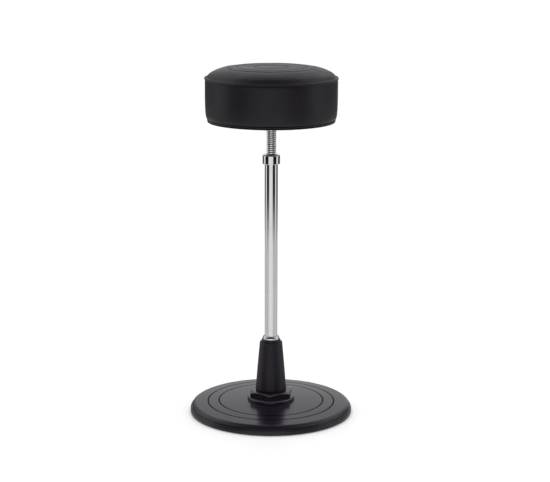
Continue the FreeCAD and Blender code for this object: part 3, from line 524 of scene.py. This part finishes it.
def shell_height(radius, top, shoulder):
    """The shell's top surface: flat under the hub, falling in a shallow curve to the shoulder."""
    if radius <= HUB_PAD:
        return top
    share = (radius - HUB_PAD) / (shoulder - HUB_PAD)
    return top - SHELL_FALL * (0.55 * share + 0.45 * share ** 2.2)


def make_base_shell():
    """The low cover: two ring grooves with soft lips, a rounded shoulder and a fine bead above the rim."""
    radius, low, high = reach("base_shell")
    bore = 26 * MM
    shoulder = radius - 14.0 * MM
    places = [bore + (shoulder - bore) * step / 240 for step in range(241)]
    offsets = (-1.9, -1.65, -1.5, -1.3, -1.0, 0.0, 1.0, 1.3, 1.5, 1.65, 1.9)
    for groove in GROOVES:
        places += [groove + offset * MM for offset in offsets]
    outline = []
    for r in sorted(set(round(place, 7) for place in places)):
        z = shell_height(r, high, shoulder)
        for groove in GROOVES:
            z -= GROOVE_DEPTH * max(0.0, 1 - (abs(r - groove) / GROOVE_HALF) ** 4)
        outline.append((r, z))
    start = shell_height(shoulder, high, shoulder)
    wide, tall = 13.2 * MM, 10.4 * MM
    for step in range(1, 17):
        angle = math.radians(90 - 84 * step / 16)
        outline.append((shoulder + wide * math.cos(angle), start - tall + tall * math.sin(angle)))
    outline += rounded([
        (radius - 0.9 * MM, low + 1.0 * MM, 0.0),
        (radius - 0.1 * MM, low + 0.8 * MM, 0.3 * MM),
        (radius, low, 0.2 * MM),
        (radius - 3 * MM, low, 0.0),
        (radius - 3 * MM, high - 11 * MM, 2 * MM),
        (HUB_PAD, high - 3 * MM, 4 * MM),
        (bore, high - 3 * MM, 0.0),
    ], 4)
    shell = turned("base_cover", outline, base_plastic, 384, 50)
    shell.data.materials.append(painted_groove_shade_plastic)
    for face in shell.data.polygons:
        away = min(abs(face.center.xy.length - groove) for groove in GROOVES)
        if away < 1.6 * MM and face.center.z > high - 11 * MM and face.normal.z > -0.1:
            face.material_index = 1  # painted shade: a darker, matte copy of the plastic darkens the grooves
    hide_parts("base_shell")
    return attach(shell, "base")


def make_bottom_plate():
    """The sheet plate under the base, with two stiffening rings pressed in."""
    radius, low, high = reach("bottom_plate")
    pressings = ((62 * MM, 5 * MM, 1.1 * MM), (120 * MM, 6 * MM, 1.2 * MM))  # radius, width and depth of each

    def pressed(r):
        return sum(depth * math.exp(-((r - place) / width) ** 4) for place, width, depth in pressings)

    rows = [radius * step / 150 for step in range(1, 151)]
    under = [(0.0, low)] + [(r, low + pressed(r) * 0.9) for r in rows]
    over = [(r, high) for r in reversed(rows)] + [(0.0, high)]
    plate = turned("bottom_sheet", under + over, sheet_paint, 256, 50)
    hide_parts("bottom_plate")
    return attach(plate, "base")


LIP_ROWS = range(3, 7)        # the foot's rows of faces that make its flange's lip
CHAMFER_ROWS = range(12, 18)  # and those that make its turned-off corners


def make_hex_foot():
    """The six-sided foot: a round flange with a soft lip under a block with its corners turned off."""
    low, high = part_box("hex_foot")
    flange, corner, bore = 58.2 * MM, 57.2 * MM, 24 * MM
    chamfer_start, chamfer_drop = 49 * MM, 4.4 * MM
    turn = math.radians(26)
    count = 6 * 60

    def hexagon(angle):
        """The distance from the axis to a hexagon with eased corners, at an angle from a corner."""
        within = (angle % (TAU / 6)) - TAU / 12
        return min(corner * math.cos(TAU / 12) / math.cos(within), corner * 0.988)

    def chamfer_height(radius):
        """The height of the turned-off top at a radius."""
        share = max(0.0, (radius - chamfer_start) / (corner - chamfer_start))
        return high.z - chamfer_drop * share

    vertices = []

    def add_row(place):
        """Adds a ring of points; place gives a radius and a height from the hexagon's distance."""
        for step in range(count):
            angle = TAU * step / count
            r, z = place(hexagon(angle))
            vertices.append(polar(r, angle + turn, z))

    add_row(lambda side: (bore, low.z))
    for out, z in ((-0.3, 0.0), (0.0, 0.3), (0.0, 5.4), (-0.3, 6.4), (-0.8, 7.3), (-1.5, 8.0), (-2.2, 8.2)):
        add_row(lambda side: (flange + out * MM, low.z + z * MM))
    for out, z in ((0.1, 8.3), (0.0, 8.6), (0.0, 10.0), (0.0, 17.0)):
        add_row(lambda side: (side + out * MM, low.z + z * MM))
    for out, down in ((0.0, 1.4), (0.0, 0.9), (-0.1, 0.45), (-0.4, 0.15), (-0.9, 0.0), (-1.6, 0.0)):
        add_row(lambda side: (side + out * MM, chamfer_height(side + out * MM) - down * MM))
    for share in (0.4, 0.8, 1.0):
        def on_chamfer(side):
            r = (side - 1.6 * MM) * (1 - share) + 46.5 * MM * share
            return r, chamfer_height(r)
        add_row(on_chamfer)
    add_row(lambda side: (38 * MM, high.z))
    add_row(lambda side: (bore, high.z))
    faces = ring_faces(numbered(len(vertices) // count, count))
    foot = facing_out(add_mesh("hexagonal_foot", vertices, faces, hub_plastic, 24), 24)
    foot.data.materials.append(painted_highlight_plastic)
    # painted highlight: the lip's and the chamfers' rows of faces take the lighter plastic
    for face in foot.data.polygons:
        if face.index // count in LIP_ROWS or face.index // count in CHAMFER_ROWS:
            face.material_index = 1
    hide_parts("hex_foot")
    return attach(foot, "base")


def make_cone_cover():
    """The tapered cover: a shadow gap at the foot, a rounded shoulder and a barely swollen taper."""
    radius, low, high = reach_mm("cone_cover")
    top = 27.9
    wall = 3.2
    side = []
    for step in range(25):
        share = step / 24
        z = low + 3.2 + (high - low - 6.4) * share
        r = radius + (top - radius) * share + 0.35 * math.sin(math.pi * share)
        side.append((r, z, 0.0))
    corners = [
        (radius - 5.2, low, 0.0),
        (radius - 1.7, low, 0.3),
        (radius - 1.6, low + 1.3, 0.2),
        (radius - 0.1, low + 1.5, 0.8),
        *side,
        (top - 0.1, high - 0.1, 2.4),
        (top - 5.2, high, 0.3),
        (16.3, high, 0.2),
        (ROUND_TUBE, high - wall, 0.0),
        (top - wall, high - wall, 1.0),
    ]
    cone = turned_mm("cone_cover_moulding", corners, 7, cone_plastic, 224, 45)
    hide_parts("cone_cover")
    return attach(cone, "base")


def make_ferrule():
    """The chrome ring above the cone: a short skirt and a rounded top with a fine gap round the tube."""
    radius, low, high = reach_mm("ferrule")
    corners = [
        (ON_TUBE, low, 0.0),
        (radius - 0.7, low, 0.3),
        (radius, low + 0.6, 0.5),
        (radius, low + 5.2, 3.6),
        (radius - 1.5, high, 2.6),
        (ON_TUBE + 0.9, high, 0.5),
        (ON_TUBE + 0.5, high - 0.7, 0.1),
        (ON_TUBE, high - 0.7, 0.0),
    ]
    ferrule = turned_mm("ferrule_chrome", corners, 10, chrome, 192, 45)
    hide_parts("ferrule")
    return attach(ferrule, "base")


def make_gasket():
    """The black collar under the ferrule, with a rim that stands round its foot."""
    radius, low, high = reach_mm("ferrule_gasket")
    corners = [
        (ROUND_TUBE, low, 0.0),
        (radius, low, 0.5),
        (radius, low + 4.0, 1.2),
        (radius - 0.9, high + 1.9, 0.5),
        (radius - 2.0, high + 1.9, 0.2),
        (radius - 2.4, high, 0.0),
        (ROUND_TUBE, high, 0.0),
    ]
    gasket = turned_mm("ferrule_seat", corners, 6, gasket_rubber, 160)
    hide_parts("ferrule_gasket")
    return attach(gasket, "base")


# ------------------------------------------------------------------ column
def make_tube():
    """The chrome tube."""
    radius, low, high = reach_mm("column_tube")
    bore = radius - 2
    corners = [
        (bore, low, 0.3),
        (radius, low, 0.3),
        (radius, high, 0.3),
        (bore, high, 0.3),
    ]
    tube = turned_mm("column_chrome", corners, 3, chrome, 192, 45)
    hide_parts("column_tube")
    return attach(tube, "base")


def make_collar():
    """The chrome collar: a rounded crown that dips to the spindle, and a turned-in foot on the tube."""
    radius, low, high = reach_mm("top_collar")
    corners = [
        (ON_TUBE, low, 0.0),
        (ON_TUBE + 0.5, low, 0.3),
        (radius - 0.4, low, 0.7),
        (radius, low + 1.0, 0.8),
        (radius, high - 1.2, 2.4),
        (radius - 3.4, high, 1.6),
        (14.6, high - 0.3, 0.6),
        (12.7, high - 1.0, 0.5),
        (12.7, high - 2.0, 0.2),
        (ON_TUBE, high - 2.0, 0.0),
    ]
    collar = turned_mm("collar_chrome", corners, 8, chrome, 192, 45)
    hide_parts("top_collar")
    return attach(collar, "base")


def thread_profile(root, crest):
    """One pitch of the screw's trapezoid from root to root, as (share of the pitch, radius)."""
    flat = 0.183  # half the crest's width; this and the next two are shares of the pitch
    flank = (crest - root) * math.tan(math.radians(15)) / PITCH
    ease = 0.03  # how far the corners are eased
    return [
        (0.0, root),
        (0.5 - flat - flank - ease, root),
        (0.5 - flat - flank + ease * 0.4, root + 0.25 * MM),
        (0.5 - flat - ease * 0.3, crest - 0.3 * MM),
        (0.5 - flat + ease * 0.8, crest),
        (0.5, crest),
        (0.5 + flat - ease * 0.8, crest),
        (0.5 + flat + ease * 0.3, crest - 0.3 * MM),
        (0.5 + flat + flank - ease * 0.4, root + 0.25 * MM),
        (0.5 + flat + flank + ease, root),
    ]


def make_spindle():
    """The screw: one continuous right-hand thread between a plain shank and a stepped tip."""
    crest = spindle_radius
    root = crest - THREAD_DEPTH
    first = 410 * MM - PITCH / 2
    turns = 60
    around = 72
    profile = thread_profile(root, crest)
    width = len(profile)
    vertices = []
    for step in range(turns * around + 1):
        angle = TAU * step / around
        rise = first + PITCH * step / around
        for share, radius in profile:
            vertices.append(polar(radius, angle, rise + share * PITCH))
    last = []
    for step in range(around + 1):
        angle = TAU * step / around
        last.append(len(vertices))
        vertices.append(polar(root, angle, first + PITCH * (turns + step / around)))
    faces = []
    for step in range(turns * around):
        for column in range(width - 1):
            here = step * width + column
            faces.append([here, here + width, here + width + 1, here + 1])
        end = step * width + width - 1
        if step + around < turns * around:
            above = (step + around) * width
            faces.append([end, end + width, above + width, above])
        else:
            place = step + around - turns * around
            faces.append([end, end + width, last[place + 1], last[place]])
    threaded = add_mesh("threaded", vertices, faces, screw_steel, 35)
    core_low = first + 1.6 * MM
    core = turned("core", rounded([
        (0.0, spindle_low, 0.0),
        (8 * MM, spindle_low, 1.0 * MM),
        (8 * MM, core_low - 4.0 * MM, 0.0),
        (root, core_low - 4.0 * MM, 0.4 * MM),
        (root, spindle_high - 23 * MM, 0.0),
        (10 * MM, spindle_high - 23 * MM, 0.3 * MM),
        (10 * MM, spindle_high, 1.0 * MM),
        (0.0, spindle_high, 0.0),
    ], 5), screw_steel, 96)
    for vertex in core.data.vertices:
        if core_low < vertex.co.z < spindle_high - 24 * MM:
            vertex.co.xy *= 0.99
    spindle = join("screw_spindle", [threaded, facing_out(core)])
    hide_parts("spindle")
    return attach(spindle, "seat")


# ------------------------------------------------------------------ seat
CROWN = [  # the crown's side, from the axis to the top piping, as (radius, height below the top) in mm
    (0, 0.0), (60, 0.05), (90, 0.35), (105, 1.6), (118, 4.0), (130, 7.8), (141, 12.6), (150, 18.4),
    (155.7, 25.2), (157.6, 27.3),
]
CROWN_EDGE = CROWN[-1][0]
RINGS = (41.0, 84.0, 106.0)  # radii of the three sewn rings, in mm


def smooth_curve(points):
    """A smooth curve through (x, y) points, as a function."""
    xs = np.array([p[0] for p in points], float)
    ys = np.array([p[1] for p in points], float)
    steps = np.diff(xs)
    slopes = np.diff(ys) / steps
    tangents = np.zeros(len(xs))
    tangents[1:-1] = (slopes[:-1] * steps[1:] + slopes[1:] * steps[:-1]) / (steps[1:] + steps[:-1])
    tangents[-1] = slopes[-1]

    def value(x):
        index = int(np.clip(np.searchsorted(xs, x) - 1, 0, len(steps) - 1))
        t = (x - xs[index]) / steps[index]
        a, b = ys[index], ys[index + 1]
        ta, tb = tangents[index] * steps[index], tangents[index + 1] * steps[index]
        return float((2 * t ** 3 - 3 * t ** 2 + 1) * a + (t ** 3 - 2 * t ** 2 + t) * ta
                     + (-2 * t ** 3 + 3 * t ** 2) * b + (t ** 3 - t ** 2) * tb)
    return value


crown_drop = smooth_curve(CROWN)


def crown_surface(angle, radius):
    """The height in mm below the seat's top, with the sewn rings and the cover's slight unevenness."""
    drop = crown_drop(radius)
    # each ring is a fine line in a shallow dip
    for ring in RINGS:
        drop += 1.3 * math.exp(-((radius - ring) / 1.6) ** 2) + 0.8 * math.exp(-((radius - ring) / 7.0) ** 2)
    x, y = radius * math.cos(angle), radius * math.sin(angle)
    drop += 0.35 * noise.noise(Vector((x / 45, y / 45, 3.7)))  # softly uneven
    seam = max(0.0, (radius - 138) / 17.7)  # puckers towards the seam
    pull = noise.noise(Vector((math.cos(angle) * 26, math.sin(angle) * 26, 1.3)))
    drop += 0.28 * seam ** 2 * (pull + 0.4 * math.sin(angle * 96 + 6 * pull))
    return drop


def make_top_panel():
    """The crowned top, sewn through in three rings and drawn down to the piping."""
    _, _, high = reach("seat_top_panel")
    radii = [CROWN_EDGE * step / 158 for step in range(1, 159)]
    for ring in RINGS:
        radii += [ring + offset / 3 for offset in range(-10, 11)]
    radii = sorted(set(round(radius, 3) for radius in radii))
    steps = 360
    vertices = [(0.0, 0.0, high - crown_surface(0.0, 0.0) * MM)]
    angles = [TAU * step / steps for step in range(steps)]
    for radius in radii:
        vertices += [polar(radius * MM, angle, high - crown_surface(angle, radius) * MM) for angle in angles]
    for radius, drop in ((157.3, 27.9), (154.8, 27.4), (150.0, 27.4)):  # the edge turned in under the crown
        vertices += [polar(radius * MM, angle, high - drop * MM) for angle in angles]
    rings = [[0] * steps] + numbered(len(radii) + 3, steps, 1)
    faces = ring_faces(rings, closed=False) + [rings[-1]]
    panel = facing_out(add_mesh("seat_top_cover", vertices, faces, leather, 60), 60)
    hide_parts("seat_top_panel", "seat_foam")
    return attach(panel, "seat")


def make_ring_stitches():
    """The stitches sunk in the three sewn rings."""
    _, _, high = reach("seat_top_panel")
    pitch = 4.2 * MM
    places = []
    for ring in RINGS:
        count = round(TAU * ring * MM / pitch)
        for step in range(count):
            angle = TAU * step / count
            out = Vector((math.cos(angle), math.sin(angle), 0))
            along = Vector((-math.sin(angle), math.cos(angle), 0))
            z = high - crown_surface(angle, ring) * MM
            slope = (crown_drop(ring + 1) - crown_drop(ring - 1)) / 2
            normal = (Vector((0, 0, 1)) + out * slope).normalized()
            places.append((out * ring * MM + Vector((0, 0, z)) + normal * 0.12 * MM, along, normal))
    stitches = capsules("ring_stitches", places, 3.3 * MM)
    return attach(stitches, "seat")


BAND = [  # the side band's profile, as (share of its height, radius in mm)
    (0.0, 153.8), (0.015, 155.2), (0.04, 156.4), (0.09, 157.5), (0.16, 158.2), (0.28, 158.9), (0.45, 159.3),
    (0.65, 159.4), (0.86, 159.3), (0.94, 159.3), (0.975, 159.1), (1.0, 158.4),
]
band_curve = smooth_curve(BAND)
BAND_RADIUS = 160  # in mm, for lengths along the band
SEAM_ANGLE = math.radians(90)  # the band's ends are sewn together at the back


def band_surface(angle, share):
    """The side band's radius in mm, with faint pulls at its seams and a sewn joint at the back."""
    radius = band_curve(share)
    edge = max(0.0, 1 - share / 0.12) ** 2 + max(0.0, (share - 0.88) / 0.12) ** 2
    pull = noise.noise(Vector((math.cos(angle) * 30, math.sin(angle) * 30, share * 1.5)))
    radius += 0.22 * edge * (pull + 0.5 * math.sin(angle * 110 + 5 * pull))
    radius += 0.40 * noise.noise(Vector((math.cos(angle) * 3.2, math.sin(angle) * 3.2, share * 1.6 + 7)))
    away = abs((angle - SEAM_ANGLE + math.pi) % TAU - math.pi) * BAND_RADIUS
    radius -= 0.9 * math.exp(-(away / 0.9) ** 2)
    radius += 0.35 * math.exp(-((away - 3.2) / 2.4) ** 2)
    return radius


def make_side_band():
    """The upholstered side: one strip, fuller above, sewn into the top and bottom piping."""
    _, low, high = reach("seat_side_band")
    bottom, top = low - 0.4 * MM, high + 0.6 * MM
    rows = 72
    inner = 151.4 * MM
    seam = [SEAM_ANGLE + offset * 0.35 / BAND_RADIUS for offset in range(-24, 25)]
    even = [TAU * step / 420 for step in range(420)]
    angles = sorted(set(seam + [a for a in even if abs(a - SEAM_ANGLE) > 8.6 / BAND_RADIUS]))
    vertices = []
    for row in range(rows + 1):
        share = row / rows
        z = bottom + (top - bottom) * share
        vertices += [polar(band_surface(angle, share) * MM, angle, z) for angle in angles]
    for z in (top, bottom):
        vertices += [polar(inner, angle, z) for angle in angles]
    faces = ring_faces(numbered(rows + 3, len(angles)))
    band = facing_out(add_mesh("seat_side_cover", vertices, faces, leather, 60), 60)
    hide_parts("seat_side_band")
    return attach(band, "seat")


def make_band_stitches():
    """Two rows of topstitching beside the band's back seam."""
    _, low, high = reach("seat_side_band")
    pitch = 4.0 * MM
    places = []
    for side in (-1, 1):
        angle = SEAM_ANGLE + side * 3.4 / BAND_RADIUS
        count = round((high - low - 4 * MM) / pitch)
        for step in range(count):
            z = low + 2 * MM + (step + 0.5) * pitch
            share = (z - low + 0.4 * MM) / (high - low + 1.0 * MM)
            out = Vector((math.cos(angle), math.sin(angle), 0))
            r = band_surface(angle, share) * MM
            places.append((out * (r + 0.12 * MM) + Vector((0, 0, z)), Vector((0, 0, 1)), out))
    stitches = capsules("back_seam_stitches", places, 3.2 * MM)
    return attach(stitches, "seat")


def make_piping(name, node, seed):
    """A ring of covered piping cord, slightly uneven, pinched where it is sewn into the seam."""
    outer, low, high = reach(node)
    cord = (high - low) / 2
    circle = outer - cord
    middle = (low + high) / 2
    sides = 20
    steps = 480
    vertices = []
    for step in range(steps):
        angle = TAU * step / steps
        wobble = noise.noise(Vector((math.cos(angle) * 40, math.sin(angle) * 40, seed)))
        lift = noise.noise(Vector((math.cos(angle) * 9, math.sin(angle) * 9, seed + 5)))
        size = cord * (1 + 0.035 * wobble)
        for side in range(sides):
            turn = TAU * side / sides
            pinch = 1.0 + 0.10 * max(0.0, -math.cos(turn)) ** 2
            r = circle + size * math.cos(turn) * pinch
            vertices.append(polar(r, angle, middle + size * math.sin(turn) + 0.12 * MM * lift))
    piping = facing_out(add_mesh(name, vertices, ring_faces(numbered(steps, sides)), piping_leather, 80), 80)
    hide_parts(node)
    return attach(piping, "seat")


def make_edge_trim():
    """The moulded band round the board's lower edge: a rounded cord with a lip turned in under the board."""
    radius, low, high = reach_mm("seat_edge_trim")
    board, lip = 151, 146
    corners = [
        (lip, low, 0.5),
        (radius - 0.5, low, 1.2),
        (radius, low + 1.6, 1.0),
        (radius - 0.7, high, 0.8),
        (board, high, 0.0),
        (board, low + 1.2, 0.0),
        (lip, low + 1.2, 0.4),
    ]
    trim = turned_mm("seat_rim_trim", corners, 7, trim_plastic, 320)
    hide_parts("seat_edge_trim")
    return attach(trim, "seat")


STAPLE_COUNT = 28
STAPLE_CIRCLE = 137 * MM


def make_dust_cover():
    """The cloth under the seat, drawn flat and dimpled where the staples hold it."""
    radius, low, high = reach("dust_cover")
    inner = 76 * MM
    rows, steps = 46, 336
    vertices = []
    for layer, base in ((0, low), (1, high)):
        for row in range(rows + 1):
            r = inner + (radius - inner) * row / rows
            for step in range(steps):
                angle = TAU * step / steps
                nearest = round(angle / TAU * STAPLE_COUNT) * TAU / STAPLE_COUNT
                away = math.hypot((angle - nearest) * STAPLE_CIRCLE, r - STAPLE_CIRCLE)
                held = math.exp(-(away / (7 * MM)) ** 2)
                free = math.sin(math.pi * row / rows)
                wave = noise.noise(Vector((r * 34 * math.cos(angle), r * 34 * math.sin(angle), 2.2)))
                sag = 0.55 * MM * free * (1 - held) * (0.65 + 0.5 * wave)
                near = math.exp(-((r - STAPLE_CIRCLE) / (12 * MM)) ** 2)
                pleat = 0.14 * MM * near * math.cos(angle * STAPLE_COUNT * 3)
                z = base - sag - pleat * (1 - held) if layer == 0 else base - sag * 0.2
                vertices.append(polar(r, angle, z))
    under = numbered(rows + 1, steps)
    over = numbered(rows + 1, steps, (rows + 1) * steps)
    faces = []
    for rings in (under, over, (under[0], over[0]), (under[-1], over[-1])):
        faces += ring_faces(rings, closed=False)
    cover = facing_out(add_mesh("dust_cloth_disc", vertices, faces, dust_cloth, 60), 60)
    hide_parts("dust_cover")
    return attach(cover, "seat")


def make_staples():
    """Round-cornered wire staples, each a degree or two out of line."""
    _, low, high = reach("cover_staples")
    rng = random.Random(11)
    wire = 0.7 * MM
    half = 5.0 * MM
    sides = 8
    end = [(half - 0.8 * MM, 0.15), (half - 0.25 * MM, 0.35), (half, 0.9), (half, 5.0)]  # (across, mm up)
    outline = [(-across, low + up * MM) for across, up in reversed(end)]
    outline += [(0, low + 0.02 * MM)] + [(across, low + up * MM) for across, up in end]
    faces = ring_faces(numbered(len(outline), sides), closed=False)
    faces += [list(range(sides)), list(range((len(outline) - 1) * sides, len(outline) * sides))]
    staples = []
    for index in range(STAPLE_COUNT):
        angle = TAU * index / STAPLE_COUNT
        lean = math.radians(rng.uniform(-9, 9))
        out = rng.uniform(-1.2, 1.2) * MM
        vertices = []
        for place, (across, up) in enumerate(outline):
            before = Vector(outline[max(place - 1, 0)])
            after = Vector(outline[min(place + 1, len(outline) - 1)])
            along = (after - before).normalized()
            normal = Vector((along.y, -along.x))
            for side in range(sides):
                turn = TAU * side / sides
                wide = math.cos(turn) * wire * 0.65
                thick = math.sin(turn) * wire * 0.38
                height = up + wire * 0.35 + normal.y * thick
                vertices.append(Vector((wide, across + normal.x * thick, height)))
        outwards = Matrix.Translation((STAPLE_CIRCLE + out, 0, 0))
        laid = Matrix.Rotation(angle, 4, "Z") @ outwards @ Matrix.Rotation(lean, 4, "Z")
        staples.append(add_mesh(f"staple_{index}", [laid @ v for v in vertices], faces, staple_wire, 50))
    joined = facing_out(join("hem_staples", staples), 50)
    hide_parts("cover_staples")
    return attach(joined, "seat")


def make_seat_plate():
    """The plate under the seat: a cast flange with a raised rim round a filleted boss."""
    radius, low, high = reach_mm("seat_plate")
    flange = low + 12
    boss = 22
    corners = [
        (12.5, low, 0.4),
        (boss - 0.4, low, 1.2),
        (boss, low + 2, 0.6),
        (boss + 0.3, flange, 3.0),
        (radius - 5, flange + 0.3, 0.8),
        (radius - 4, flange - 0.2, 0.8),
        (radius - 0.4, flange - 0.1, 1.6),
        (radius, high - 11.2, 0.4),
        (boss, high - 11, 0.0),
        (boss, high, 0.5),
        (10, high, 0.4),
        (10, low + 6.5, 0.0),
        (12.5, low + 6.5, 0.0),
    ]
    plate = turned_mm("seat_plate_casting", corners, 6, plate_paint, 192, 40)
    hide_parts("seat_plate")
    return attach(plate, "seat")


# ------------------------------------------------------------------ carried-over nodes
CARRIED = {
    "bottom_plate_screws": zinc, "base_weight": cast_iron, "hub_socket": socket_paint,
    "socket_grub_screws": dark_steel, "hub_bolts": zinc, "hub_bolt_washers": zinc,
    "spindle_nut": turned_steel, "nut_grub_screws": dark_steel, "wiper_ring": nylon,
    "collar_grub_screw": dark_steel, "guide_bush": nylon, "stop_washer": zinc, "end_washer": zinc,
    "spindle_circlip": dark_steel, "spindle_cross_pin": dark_steel, "seat_plate_bolts": zinc,
    "seat_plate_washers": zinc, "tee_nuts": zinc, "seat_board": plywood,
}


def finish_carried_nodes():
    """Give each CAD node that stays its material."""
    for name, material in CARRIED.items():
        node = frame["nodes"][name]
        node.data.materials.clear()
        node.data.materials.append(material)


# ------------------------------------------------------------------ studio
def make_floor():
    """A round white table that the throne stands on."""
    radius = 2.2
    floor = turned("floor", [(0.0, 0.0), (0.6, 0.0), (radius, 0.0), (radius, -0.02), (0.0, -0.02)], None, 128)

    def build(graph):
        where = graph.place()
        tone = graph.noise(where, 5.0, 3.0)
        return {"Roughness": graph.spread(tone, 0.3, 0.7, 0.5, 0.6)}
    floor.data.materials.append(add_material("floor_white", build, Base_Color=(0.86, 0.86, 0.865, 1.0)))
    floor.visible_glossy = False
    return floor


def make_world():
    """A white room with dark screens either side of the camera and behind the throne at table height.

    Five rings of light, from the table up to the ceiling, each run round from the camera's side to behind.
    """
    world = bpy.data.worlds.new("studio")
    bpy.context.scene.world = world
    world.use_nodes = True
    graph = Graph(world.node_tree)
    direction = graph.add("ShaderNodeTexCoord").outputs["Generated"]
    parts = graph.add("ShaderNodeSeparateXYZ", {0: direction})
    x, y, z = parts.outputs
    turn = graph.math("ARCTAN2", x, graph.math("MULTIPLY", y, -1.0))
    lean = math.radians(6.5)  # the room is turned a little to the camera's side
    turn = graph.math("ABSOLUTE", graph.math("ADD", turn, lean))
    share = graph.math("DIVIDE", turn, math.pi)  # 0 towards the camera, 1 behind the throne

    def round_ramp(stops):
        """A brightness round the room, from (degrees from the camera's side, value) stops."""
        ramp = graph.add("ShaderNodeValToRGB", {0: share})
        ramp.color_ramp.interpolation = "EASE"
        elements = ramp.color_ramp.elements
        elements.remove(elements[1])
        for degrees, value in stops:
            element = elements[0] if degrees == 0 else elements.new(degrees / 180)
            element.color = (value, value, value, 1.0)
        return graph.add("ShaderNodeRGBToBW", {0: ramp.outputs[0]}).outputs[0]

    below = round_ramp([(0, 1.12), (30, 1.05), (48, 0.72), (80, 0.74), (105, 0.80), (130, 0.62), (180, 0.8)])
    low = round_ramp([(0, 1.10), (28, 1.08), (33, 0.01), (76, 0.01), (80, 1.1), (101, 1.0), (107, 0.10),
                      (160, 0.10), (170, 0.6), (180, 0.9)])
    middle = round_ramp([(0, 0.10), (30, 0.08), (60, 0.30), (85, 0.80), (120, 0.90), (140, 0.40), (155, 0.40),
                         (166, 0.80), (180, 0.80)])
    high = round_ramp([(0, 0.10), (25, 0.15), (60, 0.80), (90, 1.20), (125, 1.25), (145, 0.85), (180, 1.10)])
    top = round_ramp([(0, 0.18), (180, 0.22)])

    def between(amount, first, second):
        """A blend of two values."""
        part = graph.math("MULTIPLY", graph.math("SUBTRACT", 1.0, amount), first)
        return graph.math("ADD", part, graph.math("MULTIPLY", amount, second))

    strength = below
    # each ring gives way to the next between two heights of the direction's z
    changes = ((-0.22, -0.18, low), (0.03, 0.10, middle), (0.35, 0.60, high), (0.72, 0.94, top))
    for start, end, ring in changes:
        strength = between(graph.spread(z, start, end, 0.0, 1.0, True), strength, ring)
    seen = graph.add("ShaderNodeLightPath").outputs["Is Camera Ray"]
    strength = between(seen, strength, 1.02)
    background = graph.add("ShaderNodeBackground", {"Color": (1.0, 1.0, 1.0, 1.0), "Strength": strength})
    output = graph.add("ShaderNodeOutputWorld")
    graph.tree.links.new(background.outputs[0], output.inputs[0])


def make_lights():
    """A very soft light from overhead that keeps the floor white; it isn't seen in reflections."""
    data = bpy.data.lights.new("overhead", "SUN")
    data.energy = 2.45
    data.angle = math.radians(70)
    light = bpy.data.objects.new("overhead", data)
    bpy.context.scene.collection.objects.link(light)
    light.location = (0.0, 0.4, 3.0)
    light.rotation_euler = (math.radians(-8), 0.0, 0.0)
    light.visible_glossy = False


def make_camera():
    """The camera, a little above seat height, looking slightly down."""
    data = bpy.data.cameras.new("camera")
    data.lens = 104.4
    data.sensor_width = 36.0
    data.shift_x = 0.0069
    data.shift_y = -0.0254
    data.clip_end = 50.0
    camera = bpy.data.objects.new("camera", data)
    bpy.context.scene.collection.objects.link(camera)
    tilt = Matrix.Rotation(math.radians(90 - 11.69), 4, "X") @ Matrix.Rotation(math.radians(0.1), 4, "Z")
    camera.matrix_world = Matrix.Translation((0.0, -3.805, 1.253)) @ tilt
    bpy.context.scene.camera = camera


make_edge_ring()
make_base_shell()
make_bottom_plate()
make_hex_foot()
make_cone_cover()
make_gasket()
make_ferrule()
make_tube()
make_collar()
make_spindle()
make_seat_plate()
make_dust_cover()
make_staples()
make_edge_trim()
make_piping("bottom_piping_cord", "seat_bottom_piping", 2.0)
make_side_band()
make_band_stitches()
make_piping("top_piping_cord", "seat_top_piping", 9.0)
make_top_panel()
make_ring_stitches()
finish_carried_nodes()
make_floor()
make_world()
make_lights()
make_camera()
bpy.context.scene.view_settings.view_transform = "Standard"
